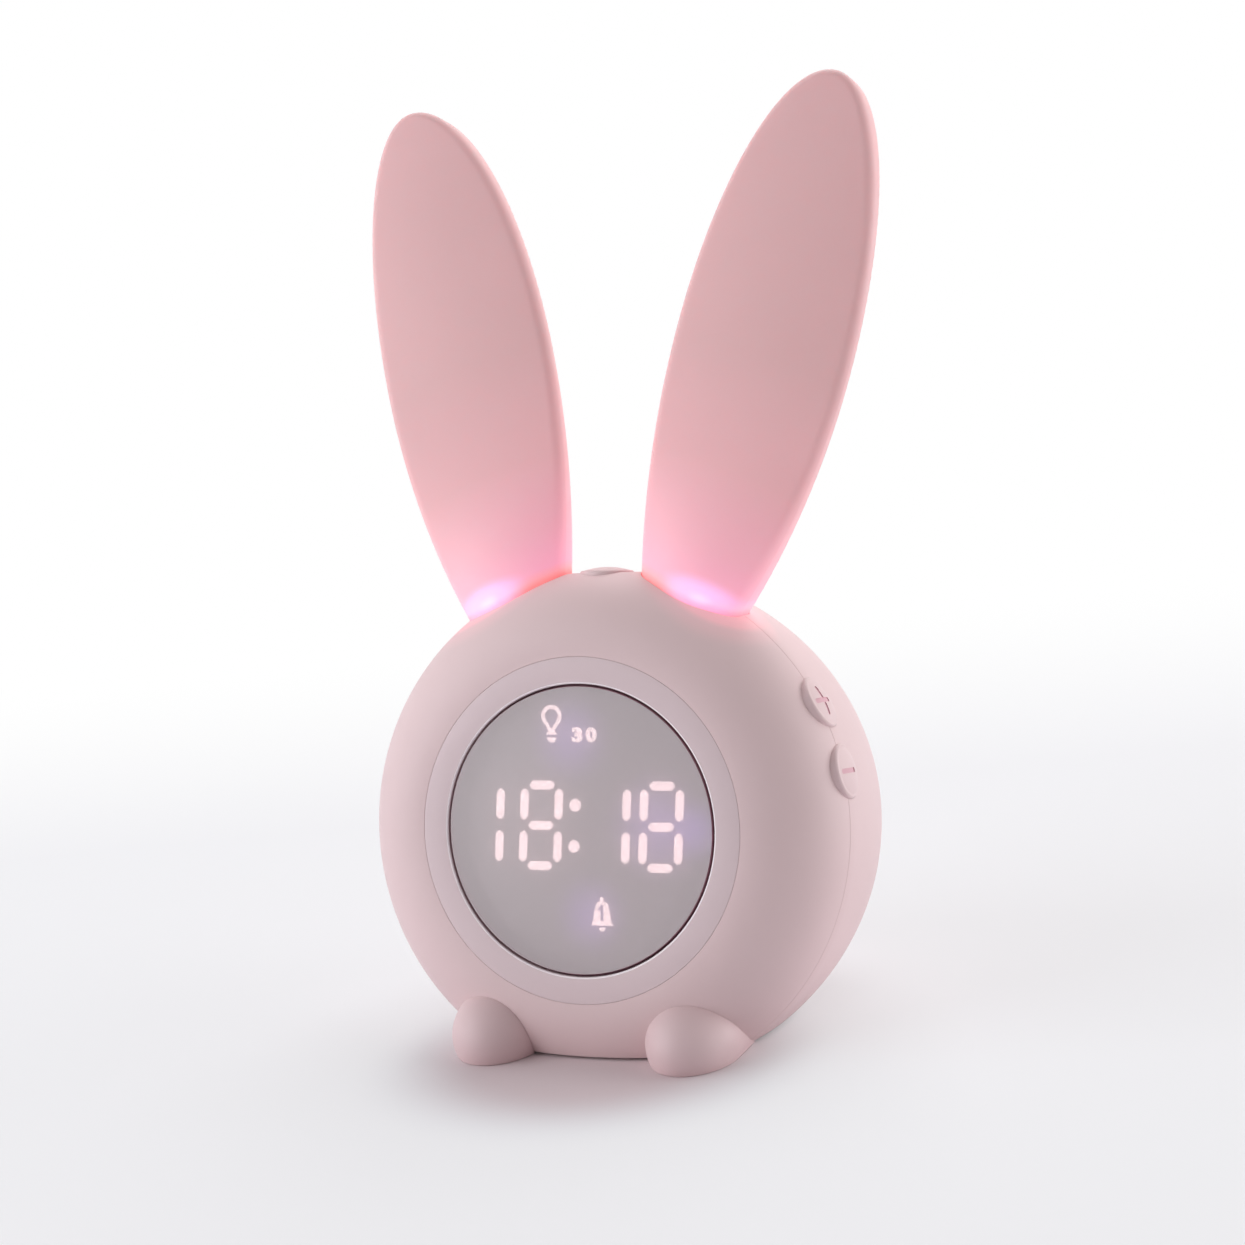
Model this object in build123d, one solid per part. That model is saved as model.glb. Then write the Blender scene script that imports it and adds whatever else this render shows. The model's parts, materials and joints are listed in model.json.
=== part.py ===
from build123d import *
from math import cos, radians, sin, sqrt
import os

# Bedside alarm clock with two glowing ears.  Millimetres and degrees.
# +Z is up and the display faces -Y.  The casing is modelled in its own frame, called the head frame:
# X to the right seen from in front, Y up along the display, Z forward out of the display.

# ---------------------------------------------------------------- casing
axis_height = 40.63       # centre of the casing above the table
lean_back = 11.245        # the whole casing leans back by this angle
casing_radius = 50.16     # at the widest section
face_radius = 33.5        # flat front face
face_depth = 16.87        # widest section to front face
back_radius = 18.4        # flat back face
back_depth = 54.9         # widest section to back face
wall = 2.2
seam_offset = 3.0         # parting plane, in front of the widest section
seam_gap = 0.1
base_height = 0.5         # flat underside above the table
top_land_drop = 0.85      # flat land around the top button
tongue_length = 1.5
tongue_thickness = 1.0
tongue_clearance = 0.1

# ---------------------------------------------------------------- display
ring_inner_radius = 27.95
ring_outer_radius = 33.05
ring_thickness = 1.8
ring_clearance = 0.1
ring_chamfer = 0.35
ledge_width = 2.15
ledge_thickness = 2.6
skirt_thickness = 1.4
skirt_clearance = 0.2
skirt_length = 3.6
barb_rise = 0.5
barb_length = 0.8
barb_width = 8.0
lens_radius = 27.5
lens_recess = 0.2
lens_flange_thickness = 1.5
lens_flange_radius = 29.1
gasket_thickness = 0.4
film_thickness = 0.25
film_depth = 4.3          # front of the lens to the lit film
housing_radius = 28.9
housing_rim_width = 1.0
housing_depth = 8.0

# digits: each cell is a seven-segment figure, given by its middle
digit_width = 9.06
digit_height = 17.1
digit_middle_height = 0.6
segment_width = 1.9
segment_gap = 0.35
cell_middles = (-22.3, -9.9, 4.4, 15.2)
colon_middle = -2.9
colon_spread = 7.9
colon_radius = 1.1
lamp_icon_place = (-7.5, 20.0)
lamp_icon_radius = 3.9
timer_window_place = (-0.4, 18.0)
timer_window_size = (6.4, 3.6)
bell_icon_place = (2.7, -16.0)
bell_icon_radius = 3.8
led_size = 1.1
led_height = 0.8

# ---------------------------------------------------------------- main board
board_thickness = 1.6
board_radius = 31.0
board_post_distance = 34.5
board_post_radius = 2.8
board_lobe_radius = 3.6
small_screw_radius = 0.95
small_head_radius = 1.9
small_head_height = 1.3
small_screw_length = 6.0
screw_clearance = 0.06
hole_clearance = 0.25
pilot_spare = 0.5         # depth of a pilot hole beyond its screw
head_round = 0.4          # of a screw head, as a share of its height
drive_width = 0.3         # of a screw's cross, as a share of the head's radius
drive_depth = 0.8         # of a screw's cross, as a share of the head's height

# parts on the back of the main board: middle, then width, height and thickness
processor = ((0, 12), (10, 10, 1.2))
sound_chip = ((15, 8), (6, 5, 1.4))
battery_plug = ((-16, 10), (9, 4, 2.4))
left_lead_plug = ((-14, -4), (7, 4, 2.4))
right_lead_plug = ((14, -4), (7, 4, 2.4))
clock_crystal = ((8, 22), (7, 2.4, 2.0))

# ---------------------------------------------------------------- casing screws
casing_screw_distance = 42.5
upper_screw_angle = 47.0
lower_screw_angle = 128.0
boss_radius = 3.2
well_wall = 1.2
well_radius = 2.7
boss_web = 3.0
boss_gap = 0.1
casing_screw_radius = 1.3
casing_head_radius = 2.4
casing_head_height = 1.8
casing_screw_length = 12.0
web_distance = 6.0        # screw seat behind the widest section

# ---------------------------------------------------------------- ears
ear_spread = 20.0         # base point of each ear, sideways
ear_base_height = 45.0    # above the casing's axis, along the display
ear_offset = 2.25         # in front of the widest section
ear_lean_back = 5.84      # more than the casing's own lean
ear_lean_out = 14.2
ear_length = 103.3        # base point to tip
ear_wide_height = 48.3    # base point to the widest place
ear_inner_reach = 18.6
ear_outer_reach = 18.4
ear_tip_shift = 0.8
ear_root_inner = 9.2
ear_root_outer = 7.8
ear_root_depth = 9.5      # base point to the end inside the casing
ear_edge_thickness = 5.0
ear_middle_thickness = 6.6
ear_edge_round = 1.4
ear_clearance = 0.15
ear_flange_overhang = 1.2
ear_flange_thickness = 2.0
lamp_block_width = 16.0
lamp_block_thickness = 9.0
lamp_block_height = 5.5
lamp_board_width = 12.0
lamp_board_depth = 6.4
lamp_board_thickness = 1.2
lamp_led_radius = 1.5
lamp_led_length = 5.5
lamp_clearance = 0.2

# ---------------------------------------------------------------- buttons
side_button_middle = 69.5 # midway between the two side buttons, from the top
side_button_split = 8.0   # each button's angle from that middle
button_offset = 1.5       # top and right buttons, in front of the widest section
left_button_offset = -9.0 # left buttons, set back into the rear casing
button_radius = 5.25
top_button_rise = 1.7
side_button_rise = 0.95
button_crown = 1.3
button_edge_round = 1.0
button_clearance = 0.2
button_flange_overhang = 0.85
button_flange_thickness = 1.5
button_flange_gap = 0.3
button_travel = 0.8
stem_radius = 2.0
stem_end = 42.0           # distance of the stem's end from the casing's axis
touch_gap = 0.05
plunger_radius = 1.5
plunger_proud = 1.3
plunger_clearance = 0.25
plunger_sunk = 2.0
switch_side = 6.0
switch_height = 3.5
switch_board_thickness = 1.2
switch_board_front = 4.0  # in front of its buttons' line
switch_board_back = 12.0
side_post_spread = 10.5
top_post_spread = 6.0
switch_post_offset = 8.5  # behind its buttons' line
switch_post_radius = 2.2
switch_board_margin = 2.2

# ---------------------------------------------------------------- feet and base pad
foot_spread = 20.5
foot_forward = 17.1
foot_radius = 9.1
foot_axis_height = 3.5
foot_nose = 12.0
foot_tail = 24.0
foot_tail_radius = 7.8
foot_gap = 0.05
foot_peg_angle = 151.2    # round the casing from its top
foot_peg_slope = 51.4     # round the front edge's section, from the widest section
peg_radius = 2.4
peg_clearance = 0.1
peg_root = 4.0            # into the foot, from the casing's skin
peg_top = 5.5             # into the casing, from its skin
foot_boss_radius = 4.2
foot_boss_top = 7.2
pad_width = 26.0
pad_length = 10.5
pad_back = 38.5           # rear edge of the pad behind the casing's centre
pad_thickness = 1.5
pad_corner = 3.0
pad_clearance = 0.12

# ---------------------------------------------------------------- battery
cell_radius = 9.15
cell_length = 50.0
cell_drop = 21.0
cell_offset = -10.5
cell_round = 0.8
cell_clearance = 0.2
holder_wall = 1.6
holder_belly_width = 34.4
holder_belly_depth = 15.1
holder_clearance = 0.2
holder_tab_width = 8.0
holder_tab_length = 8.0
holder_tab_thickness = 2.0
holder_tab_spread = 9.0
holder_tab_height = 7.5   # above the inside of the flat underside, under the casing's centre
holder_post_radius = 2.8
holder_screw_length = 5.0

# ---------------------------------------------------------------- speaker
speaker_radius = 16.0
speaker_flange = 1.0
speaker_depth = 7.0
speaker_neck_radius = 10.0
magnet_radius = 8.5
magnet_depth = 5.0
cone_radius = 14.0
cone_neck_radius = 4.5
cone_depth = 3.6
cone_thickness = 0.5
cone_set = 0.3            # rim of the cone behind the flange's front
basket_skin = 0.8
cloth_thickness = 0.3
speaker_clearance = 0.2
locator_thickness = 1.2
speaker_seat_height = 2.5
speaker_seat_width = 1.6
speaker_post_distance = 20.8
speaker_post_radius = 2.4
speaker_post_count = 3
clamp_inner_radius = 15.2
clamp_outer_radius = 18.0
clamp_thickness = 1.4
clamp_lobe_radius = 3.0
speaker_screw_length = 4.5
grille_hole_radius = 1.1
grille_ring_pitch = 3.9
grille_rings = 3

# ---------------------------------------------------------------- charging socket
socket_width = 7.6
socket_height = 2.7
socket_depth = 6.5
socket_drop = 23.0        # below the casing's axis
socket_tongue_thickness = 0.5
socket_mouth = 0.6        # mouth inside the outer skin
socket_shell = 0.35
socket_end_thickness = 0.7
socket_clearance = 0.25
socket_corner = 0.9
usb_board_width = 18.0
usb_board_clearance = 0.3
usb_board_length = 16.0
usb_post_spread = 6.0
usb_post_inset = 4.0
usb_post_radius = 2.2

# ---------------------------------------------------------------- frames
REACH = 200.0             # longer than the clock: for cutting tools and half spaces
OVER = 1.0                # how far a cutting tool runs past the face that it cuts

HEAD = Plane(
    origin=(0, 0, axis_height),
    x_dir=(1, 0, 0),
    z_dir=(0, -cos(radians(lean_back)), sin(radians(lean_back))),
)
TO_HEAD = HEAD.location.inverse()


def rod(radius, low, high):
    """Cylinder along Z between two heights."""
    return Pos(0, 0, (low + high) / 2) * Cylinder(radius, high - low)


def tube(outer, inner, low, high):
    """Ring along Z between two heights."""
    return rod(outer, low, high) - rod(inner, low - OVER, high + OVER)


def slab(low, high):
    """Everything between two heights along Z."""
    return Pos(0, 0, (low + high) / 2) * Box(REACH, REACH, high - low)


def polar(distance, angle):
    """Place in the head frame, by distance from the axis and angle from the top towards +X."""
    return (distance * sin(radians(angle)), distance * cos(radians(angle)))


def above_table(height):
    """Half space above a height over the table, in the head frame."""
    return TO_HEAD * Pos(0, 0, height + REACH / 2) * Box(REACH, REACH, REACH)


def quarter(centre, x_radius, y_radius, start):
    """Quarter ellipse, anticlockwise from a start angle."""
    return EllipticalCenterArc(centre, x_radius, y_radius, start, arc_size=90)


def turned_form(inset):
    """The casing's turned form, moved in by an inset."""
    side = casing_radius - inset
    front = face_depth - inset
    back = back_depth - inset
    outline = [
        Line((0, -back), (back_radius, -back)),
        quarter((back_radius, 0), side - back_radius, back, 270),
        quarter((face_radius, 0), side - face_radius, front, 0),
        Line((face_radius, front), (0, front)),
        Line((0, front), (0, -back)),
    ]
    return revolve(Plane.XZ * make_face(outline), axis=Axis.Z)


def form(inset):
    """The turned form with its flat underside, both moved in by an inset."""
    return turned_form(inset) & above_table(base_height + inset)


def rooted(shape):
    """A post or boss trimmed so that it starts inside the casing wall."""
    return shape & form(wall / 2)


def outer_form():
    """Outer skin: the form with the flat land on top."""
    land = Pos(0, casing_radius - top_land_drop + REACH / 2, 0) * Box(REACH, REACH, REACH)
    return form(0) - land


def radial_frame(angle, offset):
    """Frame on the casing's axis whose Z points out towards the skin at an angle from the top."""
    out = polar(1, angle)
    return Plane(origin=(0, 0, offset), x_dir=(out[1], -out[0], 0), z_dir=(out[0], out[1], 0))


# ---------------------------------------------------------------- screws
def screw(head_radius, head_height, shank_radius, length):
    """Pan-head screw with its seat at Z=0, its head above and its shank below."""
    head = rod(head_radius, 0, head_height)
    head = fillet(head.edges().sort_by(Axis.Z)[-1:], head_height * head_round)
    drive = Pos(0, 0, head_height) * (
        Box(head_radius, head_radius * drive_width, head_height * drive_depth)
        + Box(head_radius * drive_width, head_radius, head_height * drive_depth)
    )
    return head + rod(shank_radius, -length, 0) - drive


def small_screw(length):
    return screw(small_head_radius, small_head_height, small_screw_radius, length)


# ---------------------------------------------------------------- ears
def ear_frame():
    """Frame at the right ear's base point: Y along the ear, Z out of its front face."""
    back = radians(ear_lean_back)
    out = radians(ear_lean_out)
    return Plane(
        origin=(ear_spread, ear_base_height, ear_offset),
        x_dir=(cos(out), -sin(out) * cos(back), sin(out) * sin(back)),
        z_dir=(0, sin(back), cos(back)),
    )


def ear_outline(grow):
    """Leaf outline of an ear, grown outwards by an amount."""
    tip = ear_length - ear_wide_height + grow
    inner = ear_inner_reach + grow
    outer = ear_outer_reach + grow
    inner_end = (-ear_root_inner - grow, -ear_root_depth)
    outer_end = (ear_root_outer + grow, -ear_root_depth)
    centre = (ear_tip_shift, ear_wide_height)
    edges = [
        quarter(centre, outer - ear_tip_shift, tip, 0),
        quarter(centre, inner + ear_tip_shift, tip, 90),
        TangentArc((-inner, ear_wide_height), inner_end, tangent=(0, -1)),
        Line(inner_end, outer_end),
        TangentArc((outer, ear_wide_height), outer_end, tangent=(0, -1)),
    ]
    return make_face(edges)


def ear_crown(grow):
    """Long bar with gently crowned front and back, as thick as an ear."""
    edge = ear_edge_thickness / 2 + grow
    middle = ear_middle_thickness / 2 + grow
    side = ear_inner_reach + grow + OVER
    section = [
        ThreePointArc((-side, edge), (0, middle), (side, edge)),
        Line((side, edge), (side, -edge)),
        ThreePointArc((side, -edge), (0, -middle), (-side, -edge)),
        Line((-side, -edge), (-side, edge)),
    ]
    return Pos(0, REACH, 0) * extrude(Plane.XZ * make_face(section), amount=2 * REACH)


def ear_blade(grow):
    """Solid leaf of an ear, grown by an amount all round."""
    depth = ear_middle_thickness + 2 * grow
    leaf = Pos(0, 0, -depth) * extrude(ear_outline(grow), amount=2 * depth)
    return (leaf & ear_crown(grow)).solids()[0]


def ear_slot():
    """Opening in the casing for the right ear."""
    reach = Box(REACH, 4 * ear_root_depth, REACH)
    return ear_frame().location * (ear_blade(ear_clearance) & reach)


def lamp_board_seat():
    """Height along the ear of the lamp board's upper face."""
    return lamp_board_thickness - ear_root_depth + lamp_clearance


def ear_rim(blade):
    """The long edges round the front and back faces, without the end inside the casing."""
    return [edge for edge in blade.edges()
            if abs(edge.center().Z) > ear_edge_thickness / 4 and edge.center().Y > -ear_root_depth / 2]


def lamp_block():
    """Thicker end of the ear, inside the casing, that holds the lamp board."""
    block = Pos(0, lamp_block_height / 2 - ear_root_depth, 0) * Box(
        lamp_block_width, lamp_block_height, lamp_block_thickness
    )
    return (ear_frame().location * block) & form(wall + ear_clearance)


def lamp_pocket():
    """Room for the lamp board and its lamp."""
    pocket = Pos(0, lamp_board_seat() - REACH / 2, 0) * Box(
        lamp_board_width + 2 * lamp_clearance, REACH, lamp_board_depth + 2 * lamp_clearance
    )
    top = lamp_board_seat() + lamp_led_length + lamp_clearance
    return pocket + Rot(-90, 0, 0) * rod(lamp_led_radius + lamp_clearance, -ear_root_depth, top)


def right_ear():
    """Soft leaf with a collar that lies behind the casing wall and a pocket for its lamp."""
    blade = ear_blade(0)
    blade = ear_frame().location * fillet(ear_rim(blade), ear_edge_round)
    inset = wall + ear_clearance
    collar = ear_frame().location * ear_blade(ear_flange_overhang)
    collar = (collar & form(inset)) - form(inset + ear_flange_thickness)
    return blade + collar + lamp_block() - ear_frame().location * lamp_pocket()


def right_lamp_board():
    board = Pos(0, lamp_board_seat() - lamp_board_thickness / 2, 0) * Box(
        lamp_board_width, lamp_board_thickness, lamp_board_depth
    )
    return ear_frame().location * board


def right_lamp_led():
    low = lamp_board_seat()
    straight = low + lamp_led_length - lamp_led_radius
    led = rod(lamp_led_radius, low, straight) + Pos(0, 0, straight) * Sphere(lamp_led_radius)
    return ear_frame().location * Rot(-90, 0, 0) * led


# ---------------------------------------------------------------- buttons
def button_angles():
    """Angle from the top of each button, by name."""
    near = side_button_middle - side_button_split
    far = side_button_middle + side_button_split
    return {"light": 0, "plus": near, "minus": far, "alarm": -near, "clock": -far}


def offset_at(angle):
    """Place of the buttons' line on the side of an angle, in front of the widest section."""
    return left_button_offset if angle < 0 else button_offset


def button_frame(angle):
    """Frame of a button or of a switch board: Z points out at its angle from the top."""
    return radial_frame(angle, offset_at(angle))


def button_hole(angle):
    hole = rod(button_radius + button_clearance, casing_radius / 2, REACH / 2)
    return button_frame(angle).location * hole


def button_top(angle):
    """Distance from the axis of a button's highest point."""
    if angle == 0:
        return casing_radius - top_land_drop + top_button_rise
    offset = offset_at(angle)
    flat, depth = (face_radius, face_depth) if offset > 0 else (back_radius, back_depth)
    return flat + (casing_radius - flat) * sqrt(1 - (offset / depth) ** 2) + side_button_rise


def button_cap(top):
    """Round cap with a crowned outer end, about Z."""
    low = casing_radius / 2
    shoulder = (button_radius, top - button_crown)
    outline = [
        Line((0, low), (button_radius, low)),
        Line((button_radius, low), shoulder),
        TangentArc((0, top), shoulder, tangent=(1, 0)),
        Line((0, top), (0, low)),
    ]
    face = make_face(outline)
    corner = face.vertices().group_by(Axis.X)[-1].sort_by(Axis.Y)[-1]
    return revolve(Plane.XZ * fillet(corner, button_edge_round), axis=Axis.Z)


def button(angle):
    """Crowned cap, a collar that lies behind the casing wall, and a stem that works the switch."""
    frame = button_frame(angle)
    cap = frame.location * button_cap(button_top(angle))
    collar = frame.location * rod(button_radius + button_flange_overhang, casing_radius / 2, REACH / 2)
    seat = wall + button_flange_gap
    outside = collar & form(seat)
    core = form(seat + button_flange_thickness)
    stem = frame.location * rod(stem_radius, stem_end, casing_radius - wall)
    return (cap + outside) - core + stem


def plunger_top(split):
    """Height of a plunger's end under a stem that leans by the split angle."""
    tilt = radians(split)
    return stem_end * cos(tilt) - stem_radius * sin(tilt) - touch_gap


def switch_place(split):
    """Sideways place of a switch under a leaning stem."""
    return stem_end * sin(radians(split))


def plunger(middle, split, side):
    top = plunger_top(split)
    pin = rod(plunger_radius, top - plunger_proud - plunger_sunk, top)
    return button_frame(middle).location * Pos(side * switch_place(split), 0, 0) * pin


def switch_housing(middle, split, side):
    top = plunger_top(split) - plunger_proud
    case = Pos(0, 0, top - switch_height / 2) * Box(switch_side, switch_side, switch_height)
    well = rod(
        plunger_radius + plunger_clearance,
        top - plunger_sunk - button_travel - plunger_clearance,
        top + OVER,
    )
    return button_frame(middle).location * Pos(side * switch_place(split), 0, 0) * (case - well)


def board_top(split):
    return plunger_top(split) - plunger_proud - switch_height


def switch_posts(spread):
    """Places of a switch board's two screws, in the board's frame."""
    return [(side * spread, switch_post_offset) for side in (-1, 1)]


def switch_board(middle, split, spread):
    half = spread + switch_board_margin
    depth = switch_board_front + switch_board_back
    middle_back = (switch_board_back - switch_board_front) / 2
    board = Pos(0, middle_back, board_top(split) - switch_board_thickness / 2) * Box(
        2 * half, depth, switch_board_thickness
    )
    for place in switch_posts(spread):
        board -= Pos(*place, 0) * rod(small_screw_radius + hole_clearance, 0, REACH)
    return button_frame(middle).location * board


def switch_board_posts(middle, split, spread):
    """Posts on the rear casing that carry a switch board."""
    posts = [Pos(*place, 0) * rod(switch_post_radius, board_top(split), REACH / 2)
             for place in switch_posts(spread)]
    whole = button_frame(middle).location * (posts[0] + posts[1])
    return rooted(whole)


def switch_board_pilots(middle, split, spread):
    pilots = [Pos(*place, 0) * rod(
        small_screw_radius + screw_clearance,
        board_top(split) - OVER,
        board_top(split) + small_screw_length + pilot_spare,
    ) for place in switch_posts(spread)]
    return button_frame(middle).location * (pilots[0] + pilots[1])


def switch_screws(middle, split, spread):
    """Screws that enter from inside, through the board and into the posts."""
    seat = board_top(split) - switch_board_thickness
    turned = Rot(180, 0, 0) * small_screw(small_screw_length)
    return [button_frame(middle).location * Pos(*place, seat) * turned
            for place in switch_posts(spread)]


def switch_groups():
    """Middle angle, split and post spread of the three switch boards."""
    return {
        "top": (0, 0, top_post_spread),
        "right": (side_button_middle, side_button_split, side_post_spread),
        "left": (-side_button_middle, side_button_split, side_post_spread),
    }


# ---------------------------------------------------------------- casing
def casing_screw_places():
    places = []
    for angle in (upper_screw_angle, lower_screw_angle):
        for side in (-1, 1):
            places.append(polar(casing_screw_distance, side * angle))
    return places


def board_post_places():
    return [polar(board_post_distance, 45 + 90 * i) for i in range(4)]


def openings():
    """Ear slots and button holes, which both casings share."""
    slot = ear_slot()
    cut = slot + mirror(slot, about=Plane.YZ)
    for angle in button_angles().values():
        cut += button_hole(angle)
    return cut


def ledge_inner_radius():
    return ring_outer_radius - ledge_width


def board_front():
    """Front face of the main board, in front of the widest section."""
    return film_back() - housing_depth


def film_back():
    return face_depth - lens_recess - film_depth - film_thickness


def front_casing():
    front_half = slab(seam_offset + seam_gap / 2, REACH)
    shell = (outer_form() - form(wall)) & front_half
    tongue_zone = slab(seam_offset - tongue_length, seam_offset + seam_gap)
    tongue = (form(wall - tongue_thickness) - form(wall)) & tongue_zone
    ledge_low = face_depth - ring_thickness - ledge_thickness
    seat = tube(ring_outer_radius + wall, ledge_inner_radius(), ledge_low, face_depth)
    body = shell + tongue + (seat & outer_form())
    for place in board_post_places():
        post = Pos(*place, 0) * rod(board_post_radius, board_front(), REACH / 2)
        body += rooted(post)
    for place in casing_screw_places():
        boss = Pos(*place, 0) * rod(boss_radius, boss_gap - web_distance + boss_web, REACH / 2)
        body += rooted(boss)
    for side in (-1, 1):
        body += rooted(foot_boss(side))
    rebate = rod(ring_outer_radius + ring_clearance, face_depth - ring_thickness, REACH / 2)
    body -= rebate + rod(ledge_inner_radius(), 0, REACH / 2)
    for place in board_post_places():
        pilot = rod(small_screw_radius + screw_clearance, 0, board_front() + small_screw_length + pilot_spare)
        body -= Pos(*place, 0) * pilot
    for place in casing_screw_places():
        depth = casing_screw_length - web_distance + pilot_spare
        body -= Pos(*place, 0) * rod(casing_screw_radius + screw_clearance, -REACH / 2, depth)
    for side in (-1, 1):
        body -= foot_bore(side)
    return body - openings()


def front_ring():
    low = face_depth - ring_thickness
    plate = tube(ring_outer_radius, ring_inner_radius, low, face_depth)
    front_edges = plate.edges().group_by(Axis.Z)[-1].sort_by(SortBy.RADIUS)
    plate = chamfer(front_edges[0], ring_chamfer)
    skirt_outer = ledge_inner_radius() - skirt_clearance
    skirt = tube(skirt_outer, skirt_outer - skirt_thickness, low - skirt_length, low)
    barb_low = low - skirt_length
    barbs = tube(skirt_outer + barb_rise, skirt_outer - skirt_thickness, barb_low, barb_low + barb_length)
    keep = Box(REACH, barb_width, REACH) + Box(barb_width, REACH, REACH)
    return plate + skirt + (barbs & keep)


def lens_flange_front():
    return face_depth - ring_thickness - gasket_thickness


def display_lens():
    front = face_depth - lens_recess
    flange_front = lens_flange_front()
    face = rod(lens_radius, flange_front, front)
    flange = rod(lens_flange_radius, flange_front - lens_flange_thickness, flange_front)
    return face + flange


def lens_gasket():
    low = lens_flange_front()
    return tube(lens_flange_radius, ring_inner_radius + ring_clearance, low, low + gasket_thickness)


def diffuser_film():
    low = film_back()
    return rod(housing_radius - housing_rim_width - ring_clearance, low, low + film_thickness)


def segment(length):
    """One bar of a digit with pointed ends, lying along X."""
    half = length / 2
    edge = segment_width / 2
    points = [(-half, 0), (-half + edge, edge), (half - edge, edge),
              (half, 0), (half - edge, -edge), (-half + edge, -edge)]
    return make_face(Polyline(*points, close=True))


def digit_segments(middle):
    """Seven bars of one digit."""
    span = digit_width - segment_width
    rise = (digit_height - segment_width) / 2
    flat = segment(span - segment_gap)
    upright = Rot(0, 0, 90) * segment(rise - segment_gap)
    bars = [Pos(middle, digit_middle_height + k * rise) * flat for k in (-1, 0, 1)]
    for side in (-1, 1):
        for k in (-1, 1):
            bars.append(Pos(middle + side * span / 2, digit_middle_height + k * rise / 2) * upright)
    return bars


def light_windows():
    """Outlines of all the places that light up."""
    windows = []
    for middle in cell_middles:
        windows += digit_segments(middle)
    for k in (-1, 1):
        windows.append(Pos(colon_middle, digit_middle_height + k * colon_spread / 2) * Circle(colon_radius))
    windows.append(Pos(*lamp_icon_place) * Circle(lamp_icon_radius))
    windows.append(Pos(*timer_window_place) * Rectangle(*timer_window_size))
    windows.append(Pos(*bell_icon_place) * Circle(bell_icon_radius))
    return windows


def digit_housing():
    """Reflector block with one light well behind each segment, dot and icon."""
    low = board_front()
    rim_top = lens_flange_front() - lens_flange_thickness
    block = rod(housing_radius, low, film_back())
    block += tube(housing_radius, housing_radius - housing_rim_width, film_back(), rim_top)
    inside = Circle(housing_radius - housing_rim_width)
    for window in light_windows():
        block -= Pos(0, 0, low - OVER) * extrude(window & inside, amount=housing_depth + 2 * OVER)
    return block


def digit_leds():
    """Small lamp on the board in the middle of each light well."""
    leds = []
    for window in light_windows():
        spot = window.center()
        lamp = Box(led_size, led_size, led_height)
        leds.append(Pos(spot.X, spot.Y, board_front() + led_height / 2) * lamp)
    return leds


def main_board():
    high = board_front()
    low = high - board_thickness
    board = rod(board_radius, low, high)
    for place in board_post_places():
        board += Pos(*place, 0) * rod(board_lobe_radius, low, high)
    for place in board_post_places():
        board -= Pos(*place, 0) * rod(small_screw_radius + hole_clearance, low - OVER, high + OVER)
    return board


def board_chips():
    """Processor, sound chip, three plug headers and a clock crystal on the back of the main board."""
    back = board_front() - board_thickness
    parts = (processor, sound_chip, battery_plug, left_lead_plug, right_lead_plug, clock_crystal)
    return [Pos(*place, back - size[2] / 2) * Box(*size) for place, size in parts]


def board_screws():
    seat = board_front() - board_thickness
    turned = Rot(180, 0, 0) * small_screw(small_screw_length)
    return [Pos(*place, seat) * turned for place in board_post_places()]


# ---------------------------------------------------------------- speaker
def back_inner():
    """Inner face of the flat back."""
    return -(back_depth - wall)


def seat_height():
    """Top of the raised ring that carries the speaker."""
    return back_inner() + speaker_seat_height


def basket_front():
    return seat_height() + cloth_thickness


def grille_places():
    places = [(0, 0)]
    for ring in range(1, grille_rings + 1):
        for k in range(6 * ring):
            places.append(polar(ring * grille_ring_pitch, k * 60 / ring))
    return places


def speaker_post_places():
    return [polar(speaker_post_distance, k * 360 / speaker_post_count) for k in range(speaker_post_count)]


def clamp_low():
    return basket_front() + speaker_flange


def speaker_cloth():
    return rod(speaker_radius, seat_height(), basket_front())


def speaker_seat():
    """Raised ring under the speaker's flange, the taller ring around it and the three screw posts."""
    inside = speaker_radius + speaker_clearance
    foot = back_inner() - wall / 2
    seat = tube(inside + locator_thickness, inside - speaker_seat_width, foot, seat_height())
    seat += tube(inside + locator_thickness, inside, foot, clamp_low() - touch_gap)
    for place in speaker_post_places():
        seat += Pos(*place, 0) * rod(speaker_post_radius, foot, clamp_low())
    return rooted(seat)


def speaker_basket():
    """Pressed dish: a flange on the cloth, narrowing to the magnet."""
    low = basket_front()
    skin = basket_skin
    neck = low + speaker_depth
    outline = [
        (cone_radius, low), (speaker_radius, low), (speaker_radius, low + speaker_flange),
        (cone_radius + skin, low + speaker_flange), (speaker_neck_radius, neck),
        (cone_neck_radius + skin, neck), (cone_neck_radius + skin, neck - skin),
        (speaker_neck_radius - skin, neck - skin), (cone_radius, low + speaker_flange),
    ]
    return revolve(Plane.XZ * make_face(Polyline(*outline, close=True)), axis=Axis.Z)


def speaker_cone():
    """Paper cone with its dust cap at the middle, open towards the grille."""
    rim = basket_front() + cone_set
    outer = cone_radius - speaker_clearance
    deep = rim + cone_depth
    outline = [
        (0, deep - cone_thickness), (cone_neck_radius, deep - cone_thickness), (outer, rim),
        (outer, rim + cone_thickness), (cone_neck_radius, deep), (0, deep),
    ]
    return revolve(Plane.XZ * make_face(Polyline(*outline, close=True)), axis=Axis.Z)


def speaker_magnet():
    low = basket_front() + speaker_depth
    return rod(magnet_radius, low, low + magnet_depth)


def speaker_clamp():
    """Ring with three lugs that holds the basket's flange down."""
    low = clamp_low()
    high = low + clamp_thickness
    ring = rod(clamp_outer_radius, low, high)
    for place in speaker_post_places():
        ring += Pos(*place, 0) * rod(clamp_lobe_radius, low, high)
    ring -= rod(clamp_inner_radius, low - OVER, high + OVER)
    for place in speaker_post_places():
        ring -= Pos(*place, 0) * rod(small_screw_radius + hole_clearance, low - OVER, high + OVER)
    return ring


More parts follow.
